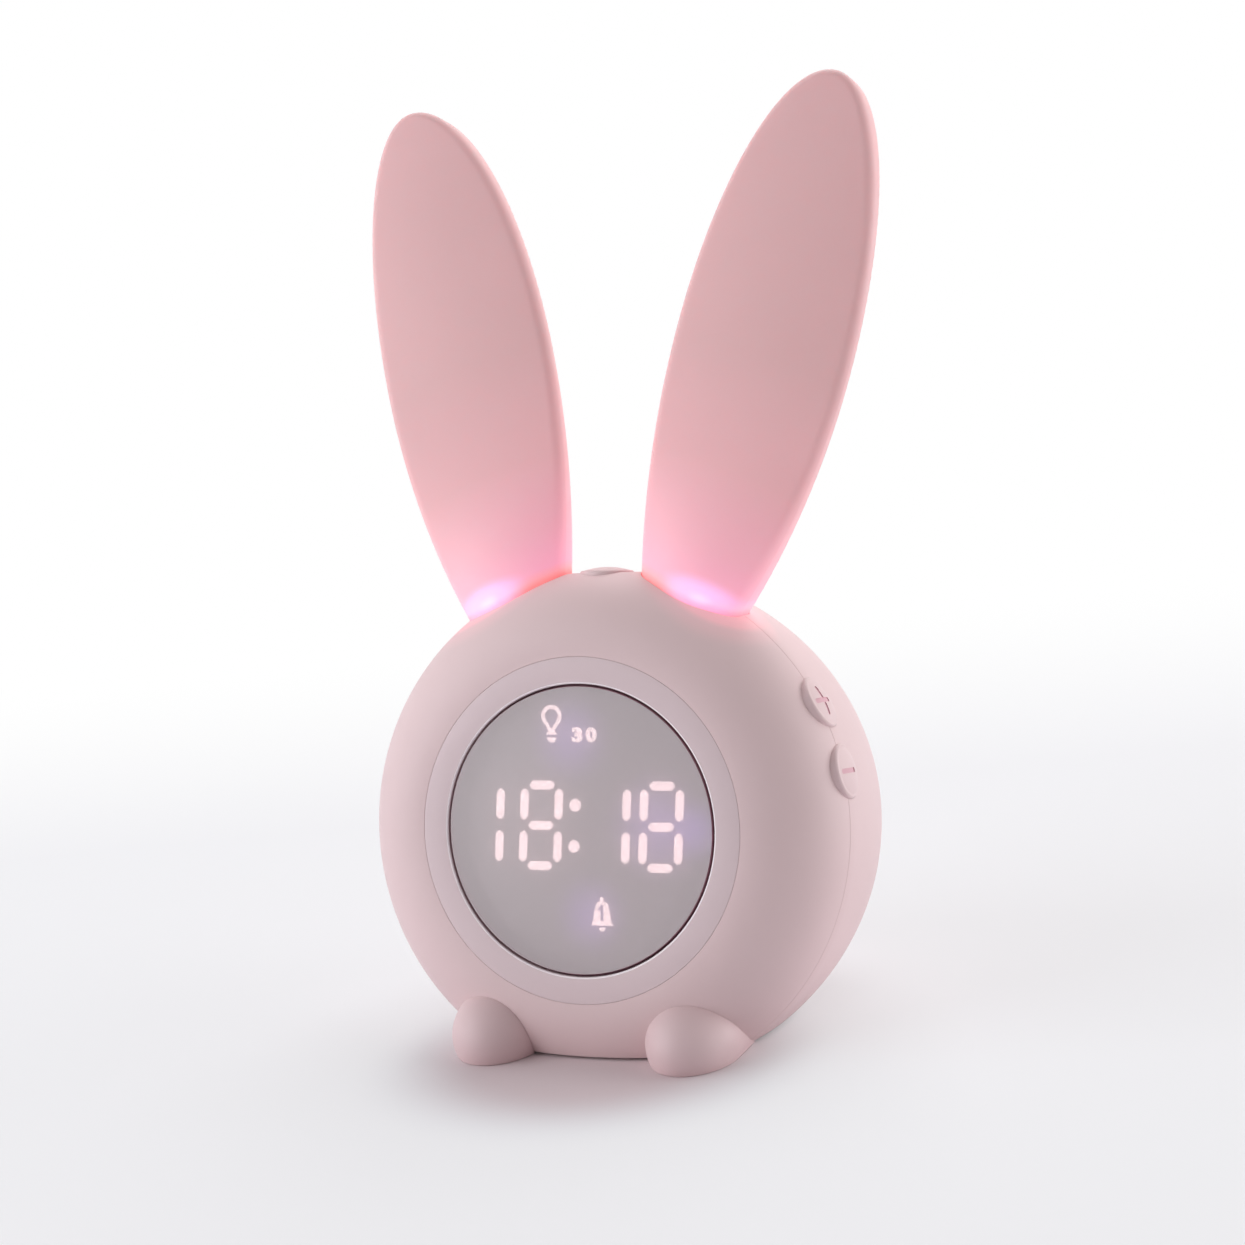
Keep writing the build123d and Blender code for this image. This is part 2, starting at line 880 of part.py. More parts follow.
def speaker_screws():
    seat = clamp_low() + clamp_thickness
    return [Pos(*place, seat) * small_screw(speaker_screw_length) for place in speaker_post_places()]


# ---------------------------------------------------------------- charging socket
def rear_skin(distance, inset):
    """Place of the rear surface at a distance from the axis, for a form moved in by an inset."""
    share = max(0, distance - back_radius) / (casing_radius - inset - back_radius)
    return (inset - back_depth) * sqrt(1 - share**2)


def socket_front():
    return rear_skin(socket_drop, 0) + socket_mouth


def usb_board_top():
    return -socket_drop - socket_height / 2


def rounded_bar(width, height, corner, low, high):
    return Pos(0, 0, low) * extrude(RectangleRounded(width, height, corner), amount=high - low)


def usb_socket():
    low = socket_front()
    high = low + socket_depth
    shell = rounded_bar(socket_width, socket_height, socket_corner, low, high)
    inner = rounded_bar(
        socket_width - 2 * socket_shell, socket_height - 2 * socket_shell,
        socket_corner - socket_shell, low - OVER, high - socket_end_thickness,
    )
    tongue = Pos(0, 0, (low + high) / 2 + socket_mouth) * Box(
        socket_width / 2, socket_tongue_thickness, socket_depth - 2 * socket_mouth
    )
    return Pos(0, -socket_drop, 0) * (shell - inner + tongue)


def socket_opening():
    """Opening for the socket and a wider rebate for the plug's grip."""
    grow = 2 * socket_clearance
    throat = rounded_bar(socket_width + grow, socket_height + grow, socket_corner, -REACH / 2, 0)
    return Pos(0, -socket_drop, 0) * throat & slab(-REACH / 2, socket_front() + socket_depth)


def usb_board_back():
    """Rear edge of the board, just inside the rear wall at its lower corners."""
    under = socket_drop + socket_height / 2 + switch_board_thickness
    corner = sqrt(under**2 + (usb_board_width / 2) ** 2)
    return rear_skin(corner, wall) + usb_board_clearance


def usb_posts():
    middle = usb_board_back() + usb_board_length - usb_post_inset
    return [(side * usb_post_spread, middle) for side in (-1, 1)]


def vertical(x, along, radius, low, high):
    """Cylinder along the head frame's Y."""
    return Pos(x, 0, along) * Rot(-90, 0, 0) * rod(radius, low, high)


def usb_board():
    middle = usb_board_back() + usb_board_length / 2
    board = Pos(0, usb_board_top() - switch_board_thickness / 2, middle) * Box(
        usb_board_width, switch_board_thickness, usb_board_length
    )
    for x, along in usb_posts():
        board -= vertical(x, along, small_screw_radius + hole_clearance, -REACH, 0)
    return board


def usb_board_posts():
    top = usb_board_top() - switch_board_thickness
    posts = [vertical(x, along, usb_post_radius, -REACH / 2, top) for x, along in usb_posts()]
    return rooted(posts[0] + posts[1])


def usb_pilots():
    top = usb_board_top() - switch_board_thickness
    radius = small_screw_radius + screw_clearance
    low = top - speaker_screw_length - pilot_spare
    pilots = [vertical(x, along, radius, low, top + OVER) for x, along in usb_posts()]
    return pilots[0] + pilots[1]


def usb_screws():
    """Screws that stand in the posts under the charging board."""
    seat = usb_board_top()
    return [Pos(x, seat, along) * Rot(-90, 0, 0) * small_screw(speaker_screw_length)
            for x, along in usb_posts()]


# ---------------------------------------------------------------- battery
def cell_rod(radius, length):
    return Pos(0, -cell_drop, cell_offset) * Rot(0, 90, 0) * Cylinder(radius, length)


def battery():
    cell = cell_rod(cell_radius, cell_length)
    return fillet(cell.edges().filter_by(GeomType.CIRCLE), cell_round)


def tab_places():
    """Screws of the battery holder: sideways place and distance in front of the widest section."""
    back = cell_offset - cell_radius - holder_wall - holder_tab_length / 2
    return [(side * holder_tab_spread, back) for side in (-1, 1)]


def tab_low():
    """Underside of the holder's tabs, in the head frame."""
    return -axis_height + base_height + wall + holder_tab_height


def battery_holder():
    """Saddle under the cell, shaped to the casing, with end walls and two screw tabs."""
    width = cell_length + 2 * (holder_wall + cell_clearance)
    depth = 2 * (cell_radius + holder_wall)
    low = -casing_radius
    high = -cell_drop
    block = Pos(0, (low + high) / 2, cell_offset) * Box(width, high - low, depth)
    block = block & form(wall + holder_clearance)
    floor = -cell_drop - cell_radius - holder_wall
    belly = Pos(0, floor - REACH / 2, cell_offset) * Box(
        holder_belly_width, REACH, holder_belly_depth
    )
    block -= belly
    block -= cell_rod(cell_radius + cell_clearance, cell_length + 2 * cell_clearance)
    for x, along in tab_places():
        start = cell_offset - cell_radius - holder_wall / 2
        end = along - holder_tab_length / 2
        tab = Pos(x, tab_low() + holder_tab_thickness / 2, (start + end) / 2) * Box(
            holder_tab_width, holder_tab_thickness, start - end
        )
        block += tab - vertical(x, along, small_screw_radius + hole_clearance, -REACH, 0)
    return block


def holder_posts():
    posts = [vertical(x, along, holder_post_radius, -REACH / 2, tab_low()) for x, along in tab_places()]
    return rooted(posts[0] + posts[1])


def holder_pilots():
    radius = small_screw_radius + screw_clearance
    low = tab_low() + holder_tab_thickness - holder_screw_length - pilot_spare
    pilots = [vertical(x, along, radius, low, tab_low() + OVER) for x, along in tab_places()]
    return pilots[0] + pilots[1]


def holder_screws():
    seat = tab_low() + holder_tab_thickness
    return [Pos(x, seat, along) * Rot(-90, 0, 0) * small_screw(holder_screw_length)
            for x, along in tab_places()]


# ---------------------------------------------------------------- feet and pad
def foot_form():
    """Egg-shaped foot cut flat by the table, in the table's frame."""
    nose = quarter((0, 0), foot_nose, foot_radius, 90)
    tail = TangentArc((0, foot_radius), (foot_tail, foot_tail_radius), tangent=(1, 0))
    end = Line((foot_tail, foot_tail_radius), (foot_tail, 0))
    axis = Line((foot_tail, 0), (-foot_nose, 0))
    egg = revolve(make_face([nose, tail, end, axis]), axis=Axis.X)
    above = Pos(0, 0, REACH / 2) * Box(REACH, REACH, REACH)
    return Pos(foot_spread, -foot_forward, foot_axis_height) * Rot(0, 0, 90) * egg & above


def foot_frame(side):
    """Frame on the skin of the front edge, under a foot: Z points straight in through the wall."""
    turn = radians(foot_peg_slope)
    reach = casing_radius - face_radius
    place = polar(face_radius + reach * cos(turn), side * foot_peg_angle)
    inward = polar(-cos(turn) / reach, side * foot_peg_angle)
    return Plane(origin=(*place, face_depth * sin(turn)), z_dir=(*inward, -sin(turn) / face_depth))


def foot_boss(side):
    """Boss inside the front casing that takes a foot's peg."""
    return foot_frame(side).location * rod(foot_boss_radius, -OVER, foot_boss_top)


def foot_bore(side):
    bore = rod(peg_radius + peg_clearance, -OVER, peg_top + peg_clearance)
    bore += rod(small_screw_radius + screw_clearance, 0, foot_boss_top + OVER)
    return foot_frame(side).location * bore


def right_foot():
    """Foot shaped to the casing, with a peg that a screw holds from inside."""
    foot = TO_HEAD * foot_form() - turned_form(-foot_gap)
    peg = rod(peg_radius, -peg_root, peg_top)
    pilot = rod(
        small_screw_radius + screw_clearance, foot_boss_top - small_screw_length - pilot_spare, foot_boss_top
    )
    return foot + foot_frame(1).location * peg - foot_frame(1).location * pilot


def foot_screws():
    screw = Pos(0, 0, foot_boss_top) * small_screw(small_screw_length)
    return [foot_frame(side).location * screw for side in (-1, 1)]


def pad_form(grow, high):
    """Outline of the pad, in the table's frame."""
    shape = RectangleRounded(pad_width + 2 * grow, pad_length + 2 * grow, pad_corner)
    return Pos(0, pad_back - pad_length / 2, 0) * extrude(shape, amount=high)


def base_pad():
    """Rubber pad, in the head frame."""
    return TO_HEAD * pad_form(0, pad_thickness)


# ---------------------------------------------------------------- rear casing
def rear_casing():
    rear_half = slab(-REACH / 2, seam_offset - seam_gap / 2)
    body = (outer_form() - form(wall)) & rear_half
    rebate = form(wall - tongue_thickness - tongue_clearance)
    body -= rebate & slab(seam_offset - tongue_length - tongue_clearance, REACH / 2)
    top = -web_distance + boss_web - 2 * boss_gap
    for place in casing_screw_places():
        well = Pos(*place, 0) * rod(well_radius + well_wall, -REACH / 2, top)
        body += rooted(well)
    for middle, split, spread in switch_groups().values():
        body += switch_board_posts(middle, split, spread)
    body += speaker_seat()
    body += usb_board_posts() + holder_posts()
    for place in casing_screw_places():
        body -= Pos(*place, 0) * rod(well_radius, -REACH / 2, -web_distance)
        body -= Pos(*place, 0) * rod(casing_screw_radius + hole_clearance, -REACH / 2, 0)
    for middle, split, spread in switch_groups().values():
        body -= switch_board_pilots(middle, split, spread)
    for place in speaker_post_places():
        body -= Pos(*place, 0) * rod(small_screw_radius + screw_clearance, back_inner(), 0)
    for place in grille_places():
        body -= Pos(*place, 0) * rod(grille_hole_radius, -REACH / 2, back_inner() + OVER)
    body -= usb_pilots() + holder_pilots() + socket_opening()
    body -= TO_HEAD * pad_form(pad_clearance, pad_thickness + pad_clearance)
    return body - openings()


def casing_screws():
    turned = Rot(180, 0, 0) * screw(
        casing_head_radius, casing_head_height, casing_screw_radius, casing_screw_length
    )
    return [Pos(*place, -web_distance) * turned for place in casing_screw_places()]


# ---------------------------------------------------------------- assembly
def both_sides(name, shape):
    """A right-hand piece and its mirror image."""
    return {"right_" + name: shape, "left_" + name: mirror(shape, about=Plane.YZ)}


def head_pieces():
    """Pieces modelled in the head frame, by node name."""
    pieces = {
        "front_casing": front_casing(),
        "rear_casing": rear_casing(),
        "front_ring": front_ring(),
        "display_lens": display_lens(),
        "lens_gasket": lens_gasket(),
        "diffuser_film": diffuser_film(),
        "digit_housing": digit_housing(),
        "digit_leds": digit_leds(),
        "main_board": main_board(),
        "board_chips": board_chips(),
        "board_screws": board_screws(),
        "casing_screws": casing_screws(),
        "speaker_cloth": speaker_cloth(),
        "speaker_basket": speaker_basket(),
        "speaker_cone": speaker_cone(),
        "speaker_magnet": speaker_magnet(),
        "speaker_clamp": speaker_clamp(),
        "speaker_screws": speaker_screws(),
        "usb_socket": usb_socket(),
        "usb_board": usb_board(),
        "usb_screws": usb_screws(),
        "battery": battery(),
        "battery_holder": battery_holder(),
        "holder_screws": holder_screws(),
        "foot_screws": foot_screws(),
        "base_pad": base_pad(),
    }
    pieces.update(both_sides("ear", right_ear()))
    pieces.update(both_sides("lamp_board", right_lamp_board()))
    pieces.update(both_sides("lamp_led", right_lamp_led()))
    pieces.update(both_sides("foot", right_foot()))
    for name, angle in button_angles().items():
        pieces[name + "_button"] = button(angle)
    split = side_button_split
    middle = side_button_middle
    pieces["light_plunger"] = plunger(0, 0, 0)
    pieces["plus_plunger"] = plunger(middle, split, -1)
    pieces["minus_plunger"] = plunger(middle, split, 1)
    pieces["alarm_plunger"] = plunger(-middle, split, 1)
    pieces["clock_plunger"] = plunger(-middle, split, -1)
    screws = []
    for name, (middle, split, spread) in switch_groups().items():
        sides = (0,) if split == 0 else (-1, 1)
        pieces[name + "_switches"] = [switch_housing(middle, split, side) for side in sides]
        pieces[name + "_switch_board"] = switch_board(middle, split, spread)
        screws += switch_screws(middle, split, spread)
    pieces["switch_screws"] = screws
    return pieces


def as_list(shape):
    return shape if isinstance(shape, list) else [shape]


def main():
    pieces = {}
    for name, shape in head_pieces().items():
        pieces[name] = [HEAD.location * solid for solid in as_list(shape)]
    outside = [pieces[name][0] for name in ("front_casing", "rear_casing", "right_foot", "right_ear")]
    box = Compound(children=outside).bounding_box()
    centring = Pos(0, -(box.min.Y + box.max.Y) / 2, 0)
    os.makedirs("parts", exist_ok=True)
    for name, solids in pieces.items():
        moved = [solid for shape in solids for solid in (centring * shape).solids()]
        node = moved[0] if len(moved) == 1 else Compound(children=moved)
        export_step(node, "parts/" + name + ".step")
    print("centring moves the model along Y by", round(centring.position.Y, 4))


main()
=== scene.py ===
"""Bedside alarm clock with two glowing ears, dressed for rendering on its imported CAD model."""
import json
import logging
import math
from dataclasses import dataclass, field
from enum import Enum

import bmesh
import bpy
from mathutils import Matrix, Vector
from mathutils.kdtree import KDTree


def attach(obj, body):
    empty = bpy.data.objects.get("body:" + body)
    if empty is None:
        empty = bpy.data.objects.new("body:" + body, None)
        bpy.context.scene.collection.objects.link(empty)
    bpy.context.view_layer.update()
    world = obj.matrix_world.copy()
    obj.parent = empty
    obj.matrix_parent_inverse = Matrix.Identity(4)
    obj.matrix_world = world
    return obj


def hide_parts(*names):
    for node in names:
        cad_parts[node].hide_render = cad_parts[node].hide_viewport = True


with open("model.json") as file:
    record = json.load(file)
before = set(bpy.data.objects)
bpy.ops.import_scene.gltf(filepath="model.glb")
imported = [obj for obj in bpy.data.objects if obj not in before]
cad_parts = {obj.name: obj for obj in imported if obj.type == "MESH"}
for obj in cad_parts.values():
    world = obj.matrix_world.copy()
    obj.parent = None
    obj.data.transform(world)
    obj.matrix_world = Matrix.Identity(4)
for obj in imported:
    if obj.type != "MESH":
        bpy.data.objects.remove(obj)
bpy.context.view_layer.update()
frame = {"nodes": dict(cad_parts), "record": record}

LOG = logging.getLogger("clock")

MM = 0.001
BODY = "clock"
STAND_Y = -14.3446


class Cut(Enum):
    """How two closed meshes are combined."""

    DIFFERENCE = "DIFFERENCE"
    INTERSECT = "INTERSECT"
    UNION = "UNION"


class Side(Enum):
    """Side of the clock, seen from in front."""

    RIGHT = 1
    LEFT = -1


# ---------------------------------------------------------------- frames
@dataclass(frozen=True)
class HeadFrame:
    """The casing's own frame in millimetres: X right, Y up along the display, Z out of the display."""

    axis_height: float = 40.63
    lean_back: float = 11.245

    def matrix(self) -> Matrix:
        """Matrix from head millimetres to the row frame in metres."""
        lean = math.radians(self.lean_back)
        c, s = math.cos(lean), math.sin(lean)
        turn = Matrix(((1, 0, 0, 0), (0, s, -c, STAND_Y), (0, c, s, self.axis_height), (0, 0, 0, 1)))
        return Matrix.Scale(MM, 4) @ turn

    def up(self) -> Vector:
        """The table's upward direction, in the head frame."""
        lean = math.radians(self.lean_back)
        return Vector((0, math.cos(lean), math.sin(lean)))

    def at_height(self, height: float) -> Vector:
        """A point of the head frame at a height over the table, in millimetres."""
        return self.up() * (height - self.axis_height)


@dataclass(frozen=True)
class Skin:
    """The casing's turned outline, which everything in it shares."""

    radius: float = 50.16
    face_radius: float = 33.5
    face_depth: float = 16.87
    back_radius: float = 18.4
    back_depth: float = 54.9


HEAD = HeadFrame()
SKIN = Skin()
FILM_FRONT = 12.37
TABLE_MATRIX = Matrix.Scale(MM, 4) @ Matrix.Translation((0, STAND_Y, 0))
TABLE_TO_HEAD = HEAD.matrix().inverted() @ TABLE_MATRIX


def radial_matrix(angle: float, offset: float) -> Matrix:
    """Frame on the casing's axis whose Z points out to the skin, at an angle in degrees from the top."""
    a = math.radians(angle)
    s, c = math.sin(a), math.cos(a)
    return Matrix(((c, 0, s, 0), (-s, 0, c, 0), (0, -1, 0, offset), (0, 0, 0, 1)))


# ---------------------------------------------------------------- mesh tools
class Wire:
    """A flat run of edges in the XZ plane, drawn point by point and arc by arc."""

    def __init__(self) -> None:
        """Start with no point."""
        self.mesh = bmesh.new()
        self.first = None
        self.last = None

    def _join(self, vertex: bmesh.types.BMVert) -> None:
        """Draw an edge from the last point to a vertex."""
        if self.last is not None:
            self.mesh.edges.new((self.last, vertex))
        else:
            self.first = vertex

    def to(self, x: float, z: float) -> "Wire":
        """Draw a straight run to a distance from the axis and a height along it."""
        vertex = self.mesh.verts.new((x, 0.0, z))
        self._join(vertex)
        self.last = vertex
        return self

    def arc(self, centre: tuple, radii: tuple, start: float, sweep: float, steps: int) -> "Wire":
        """Draw an elliptical arc, joined to the last point by a straight run.

        Args:
            centre: Middle of the ellipse as (x, z).
            radii: Radii along x and z.
            start: Angle of the first point, in degrees from +x towards +z.
            sweep: Angle that the arc covers, in degrees.
            steps: Number of edges.

        Returns:
            This wire.
        """
        known = set(self.mesh.verts)
        a = math.radians(start)
        begin = self.mesh.verts.new((math.cos(a), 0.0, math.sin(a)))
        spun = bmesh.ops.spin(
            self.mesh, geom=[begin], cent=(0, 0, 0), axis=(0, -1, 0), dvec=(0, 0, 0),
            angle=math.radians(sweep), steps=steps, use_merge=False,
        )
        run = [v for v in self.mesh.verts if v not in known]
        bmesh.ops.scale(self.mesh, vec=(radii[0], 1, radii[1]), verts=run)
        bmesh.ops.translate(self.mesh, vec=(centre[0], 0, centre[1]), verts=run)
        self._join(begin)
        self.last = [g for g in spun["geom_last"] if isinstance(g, bmesh.types.BMVert)][0]
        return self

    def close(self) -> "Wire":
        """Draw the run from the last point back to the first."""
        self.mesh.edges.new((self.last, self.first))
        return self


def tidy(mesh: bmesh.types.BMesh, reach: float = 1e-4) -> bmesh.types.BMesh:
    """Merge vertices within a reach, drop faces with no area and point all faces outwards."""
    bmesh.ops.remove_doubles(mesh, verts=mesh.verts[:], dist=reach)
    bmesh.ops.dissolve_degenerate(mesh, edges=mesh.edges[:], dist=reach)
    bmesh.ops.recalc_face_normals(mesh, faces=mesh.faces[:])
    return mesh


def turned(wire: Wire, steps: int = 180) -> bmesh.types.BMesh:
    """Spin a wire, closed or ending on the axis, round Z into a closed turned shape."""
    mesh = wire.mesh
    bmesh.ops.spin(
        mesh, geom=mesh.verts[:] + mesh.edges[:], cent=(0, 0, 0), axis=(0, 0, 1), dvec=(0, 0, 0),
        angle=math.tau, steps=steps, use_merge=True,
    )
    return tidy(mesh)


def drum(radius: float, low: float, high: float, steps: int = 48, flare: float = 0.0) -> bmesh.types.BMesh:
    """Closed drum along Z, opening out towards its low end where a flare is given.

    Args:
        radius: Radius of the drum.
        low: Height of its lower end.
        high: Height of its upper end.
        steps: Number of sides.
        flare: How far the low end opens out, and over what height.

    Returns:
        The drum's mesh.
    """
    wire = Wire().to(0, low).to(radius + flare, low)
    if flare:
        wire.to(radius, low + flare)
    wire.to(radius, high).to(0, high)
    return turned(wire, steps)


def block(size: tuple, middle: tuple, corner: float = 0.0, edge: float = 0.0) -> bmesh.types.BMesh:
    """Box with rounded upright corners and, where given, softened edges at both ends.

    Args:
        size: Width, depth and height.
        middle: Middle of the box.
        corner: Radius of the four upright corners.
        edge: Rounding of the edges round both ends.

    Returns:
        The box's mesh.
    """
    mesh = bmesh.new()
    bmesh.ops.create_cube(mesh, size=1)
    bmesh.ops.scale(mesh, vec=size, verts=mesh.verts[:])
    if corner:
        upright = [e for e in mesh.edges if abs(e.verts[0].co.z - e.verts[1].co.z) > size[2] / 2]
        bmesh.ops.bevel(
            mesh, geom=upright, offset=corner, offset_type="OFFSET", segments=6,
            profile=0.5, affect="EDGES", material=-1, clamp_overlap=True,
        )
    if edge:
        ends = [e for e in mesh.edges if abs(e.verts[0].co.z - e.verts[1].co.z) < size[2] / 2]
        bmesh.ops.bevel(
            mesh, geom=ends, offset=edge, offset_type="OFFSET", segments=3,
            profile=0.5, affect="EDGES", material=-1, clamp_overlap=True,
        )
    bmesh.ops.translate(mesh, vec=middle, verts=mesh.verts[:])
    return tidy(mesh)


def moved(mesh: bmesh.types.BMesh, matrix: Matrix) -> bmesh.types.BMesh:
    """Transform a mesh, and turn its faces back out where the matrix mirrors it."""
    bmesh.ops.transform(mesh, matrix=matrix, verts=mesh.verts[:])
    if matrix.determinant() < 0:
        bmesh.ops.reverse_faces(mesh, faces=mesh.faces[:])
    return mesh


def joined(meshes: list) -> bmesh.types.BMesh:
    """Put several meshes that do not touch into one."""
    whole = bmesh.new()
    for mesh in meshes:
        data = bpy.data.meshes.new("part")
        mesh.to_mesh(data)
        mesh.free()
        whole.from_mesh(data)
        bpy.data.meshes.remove(data)
    return whole


def _loose_object(mesh: bmesh.types.BMesh) -> bpy.types.Object:
    """Object that carries a mesh for a moment while it is cut."""
    data = bpy.data.meshes.new("cutting")
    mesh.to_mesh(data)
    mesh.free()
    made = bpy.data.objects.new("cutting", data)
    bpy.context.scene.collection.objects.link(made)
    return made


def combine(body: bmesh.types.BMesh, tool: bmesh.types.BMesh, how: Cut) -> bmesh.types.BMesh:
    """Combine two closed meshes with the exact boolean.

    Args:
        body: The mesh that is cut or added to.
        tool: The mesh that cuts or is added.
        how: The way in which they are combined.

    Returns:
        The new mesh.
    """
    left, right = _loose_object(body), _loose_object(tool)
    modifier = left.modifiers.new("cut", "BOOLEAN")
    modifier.operation = how.value
    modifier.object = right
    modifier.solver = "EXACT"
    bpy.context.view_layer.update()
    result = bmesh.new()
    result.from_object(left, bpy.context.evaluated_depsgraph_get())
    for used in (left, right):
        data = used.data
        bpy.data.objects.remove(used)
        bpy.data.meshes.remove(data)
    return result


def union(*meshes: bmesh.types.BMesh) -> bmesh.types.BMesh:
    """One closed mesh from several that overlap."""
    whole = meshes[0]
    for mesh in meshes[1:]:
        whole = combine(whole, mesh, Cut.UNION)
    return whole


def flat_cut(mesh: bmesh.types.BMesh, point: Vector, normal: Vector) -> bmesh.types.BMesh:
    """Cut a closed mesh by a plane, drop what lies behind it and close the cut.

    Args:
        mesh: The mesh to cut.
        point: A point of the plane.
        normal: The plane's normal, towards what stays.

    Returns:
        The same mesh.
    """
    cut = bmesh.ops.bisect_plane(
        mesh, geom=mesh.verts[:] + mesh.edges[:] + mesh.faces[:], dist=1e-4,
        plane_co=point, plane_no=normal, clear_inner=True,
    )
    rim = [g for g in cut["geom_cut"] if isinstance(g, bmesh.types.BMEdge)]
    bmesh.ops.edgeloop_fill(mesh, edges=rim)
    bmesh.ops.recalc_face_normals(mesh, faces=mesh.faces[:])
    return mesh


# ---------------------------------------------------------------- node tools
class Recipe:
    """A new material with its Principled shader, and short ways to add nodes to it."""

    def __init__(self, name: str) -> None:
        """Make the material."""
        self.material = bpy.data.materials.new(name)
        self.material.use_nodes = True
        self.tree = self.material.node_tree
        self.shader = next(n for n in self.tree.nodes if n.type == "BSDF_PRINCIPLED")
        self.output = next(n for n in self.tree.nodes if n.type == "OUTPUT_MATERIAL")
        self.coordinates = self.tree.nodes.new("ShaderNodeTexCoord").outputs["Object"]

    def set(self, **values: object) -> "Recipe":
        """Set constant values on the shader's own sockets, named with underscores for spaces."""
        for name, value in values.items():
            self.shader.inputs[name.replace("_", " ")].default_value = value
        return self

    def link(self, source: bpy.types.NodeSocket, name: str) -> None:
        """Link a socket to one of the shader's inputs."""
        self.tree.links.new(source, self.shader.inputs[name])

    def node(self, kind: str, **inputs: object) -> bpy.types.Node:
        """Add a node and fill its inputs by name with values or links."""
        made = self.tree.nodes.new(kind)
        for name, value in inputs.items():
            self._fill(made.inputs[name.replace("_", " ")], value)
        return made

    def _fill(self, target: bpy.types.NodeSocket, value: object) -> None:
        """Link a socket, or set a value."""
        if isinstance(value, bpy.types.NodeSocket):
            self.tree.links.new(value, target)
        else:
            target.default_value = value

    def math(
        self, operation: str, first: object, second: object = 0.0, clamp: bool = False,
    ) -> bpy.types.NodeSocket:
        """Result of a Math node."""
        made = self.tree.nodes.new("ShaderNodeMath")
        made.operation = operation
        made.use_clamp = clamp
        self._fill(made.inputs[0], first)
        self._fill(made.inputs[1], second)
        return made.outputs[0]

    def span(self, *parts: object) -> bpy.types.NodeSocket:
        """Length of a vector with the given parts."""
        total = 0.0
        for part in parts:
            total = self.math("ADD", total, self.math("MULTIPLY", part, part))
        return self.math("SQRT", total)

    def smooth(self, value: object, low: float, high: float, top: float = 1.0) -> bpy.types.NodeSocket:
        """Smooth rise from 0 at a low value to a top at a high one."""
        made = self.node("ShaderNodeMapRange", Value=value, From_Min=low, From_Max=high, To_Max=top)
        made.interpolation_type = "SMOOTHSTEP"
        return made.outputs["Result"]

    def vector(self, operation: str, first: object, second: object = (0, 0, 0)) -> bpy.types.Node:
        """A Vector Math node with its first two inputs filled."""
        made = self.tree.nodes.new("ShaderNodeVectorMath")
        made.operation = operation
        self._fill(made.inputs[0], first)
        self._fill(made.inputs[1], second)
        return made

    def noise(self, scale: float, detail: float = 3.0, roughness: float = 0.5) -> bpy.types.NodeSocket:
        """Value of a noise over the piece, its scale in cells per metre."""
        made = self.node("ShaderNodeTexNoise", Vector=self.coordinates, Scale=scale, Detail=detail)
        made.inputs["Roughness"].default_value = roughness
        return made.outputs["Fac"]

    def ramp(self, value: object, stops: list, easing: str = "LINEAR") -> bpy.types.NodeSocket:
        """Colour of a ramp with the given stops, each a place and a colour."""
        made = self.tree.nodes.new("ShaderNodeValToRGB")
        made.color_ramp.interpolation = easing
        elements = made.color_ramp.elements
        while len(elements) < len(stops):
            elements.new(1.0)
        for element, (place, colour) in zip(elements, stops):
            element.position = place
            element.color = (*colour, 1.0)
        self._fill(made.inputs["Fac"], value)
        return made.outputs["Color"]

    def paint(
        self, value: object, colour: tuple, dark: float, pale: float, places: tuple = (0.3, 0.7),
    ) -> None:
        """Give the shader a colour that runs from a darker to a paler share of itself."""
        stops = [(places[0], shade(colour, dark)), (places[1], shade(colour, pale))]
        self.link(self.ramp(value, stops), "Base Color")

    def bump(self, height: object, distance: float, strength: float = 1.0) -> None:
        """Give the shader a bump from a height value."""
        made = self.node("ShaderNodeBump", Height=height, Distance=distance, Strength=strength)
        self.link(made.outputs["Normal"], "Normal")

    def done(self) -> bpy.types.Material:
        """The finished material."""
        return self.material


def srgb(red: int, green: int, blue: int) -> tuple:
    """Linear colour from eight-bit screen values."""
    def linear(value: int) -> float:
        """Linear share of one screen value."""
        share = value / 255
        return share / 12.92 if share <= 0.04045 else ((share + 0.055) / 1.055) ** 2.4
    return tuple(linear(v) for v in (red, green, blue))


def shade(colour: tuple, factor: float) -> tuple:
    """A colour made darker or lighter by a factor."""
    return tuple(min(1.0, channel * factor) for channel in colour)


# ---------------------------------------------------------------- finishes
@dataclass(frozen=True)
class SoftTouch:
    """Satin soft-touch plastic or silicone with a very fine grain."""

    name: str
    colour: tuple
    roughness: float = 0.5
    sheen: float = 0.1

    def start(self) -> Recipe:
        """Recipe with the satin surface alone."""
        recipe = Recipe(self.name)
        recipe.paint(recipe.noise(28.0, 2.0), self.colour, 0.975, 1.02)
        worn = recipe.noise(160.0, 3.0)
        low, high = self.roughness - 0.04, self.roughness + 0.05
        rough = recipe.node("ShaderNodeMapRange", Value=worn, To_Min=low, To_Max=high)
        recipe.link(rough.outputs["Result"], "Roughness")
        recipe.bump(recipe.noise(5200.0, 2.0, 0.6), 0.00002, 0.35)
        return recipe.set(Sheen_Weight=self.sheen, Sheen_Roughness=0.45, IOR=1.45)

    def make(self) -> bpy.types.Material:
        """Build the material."""
        return self.start().done()


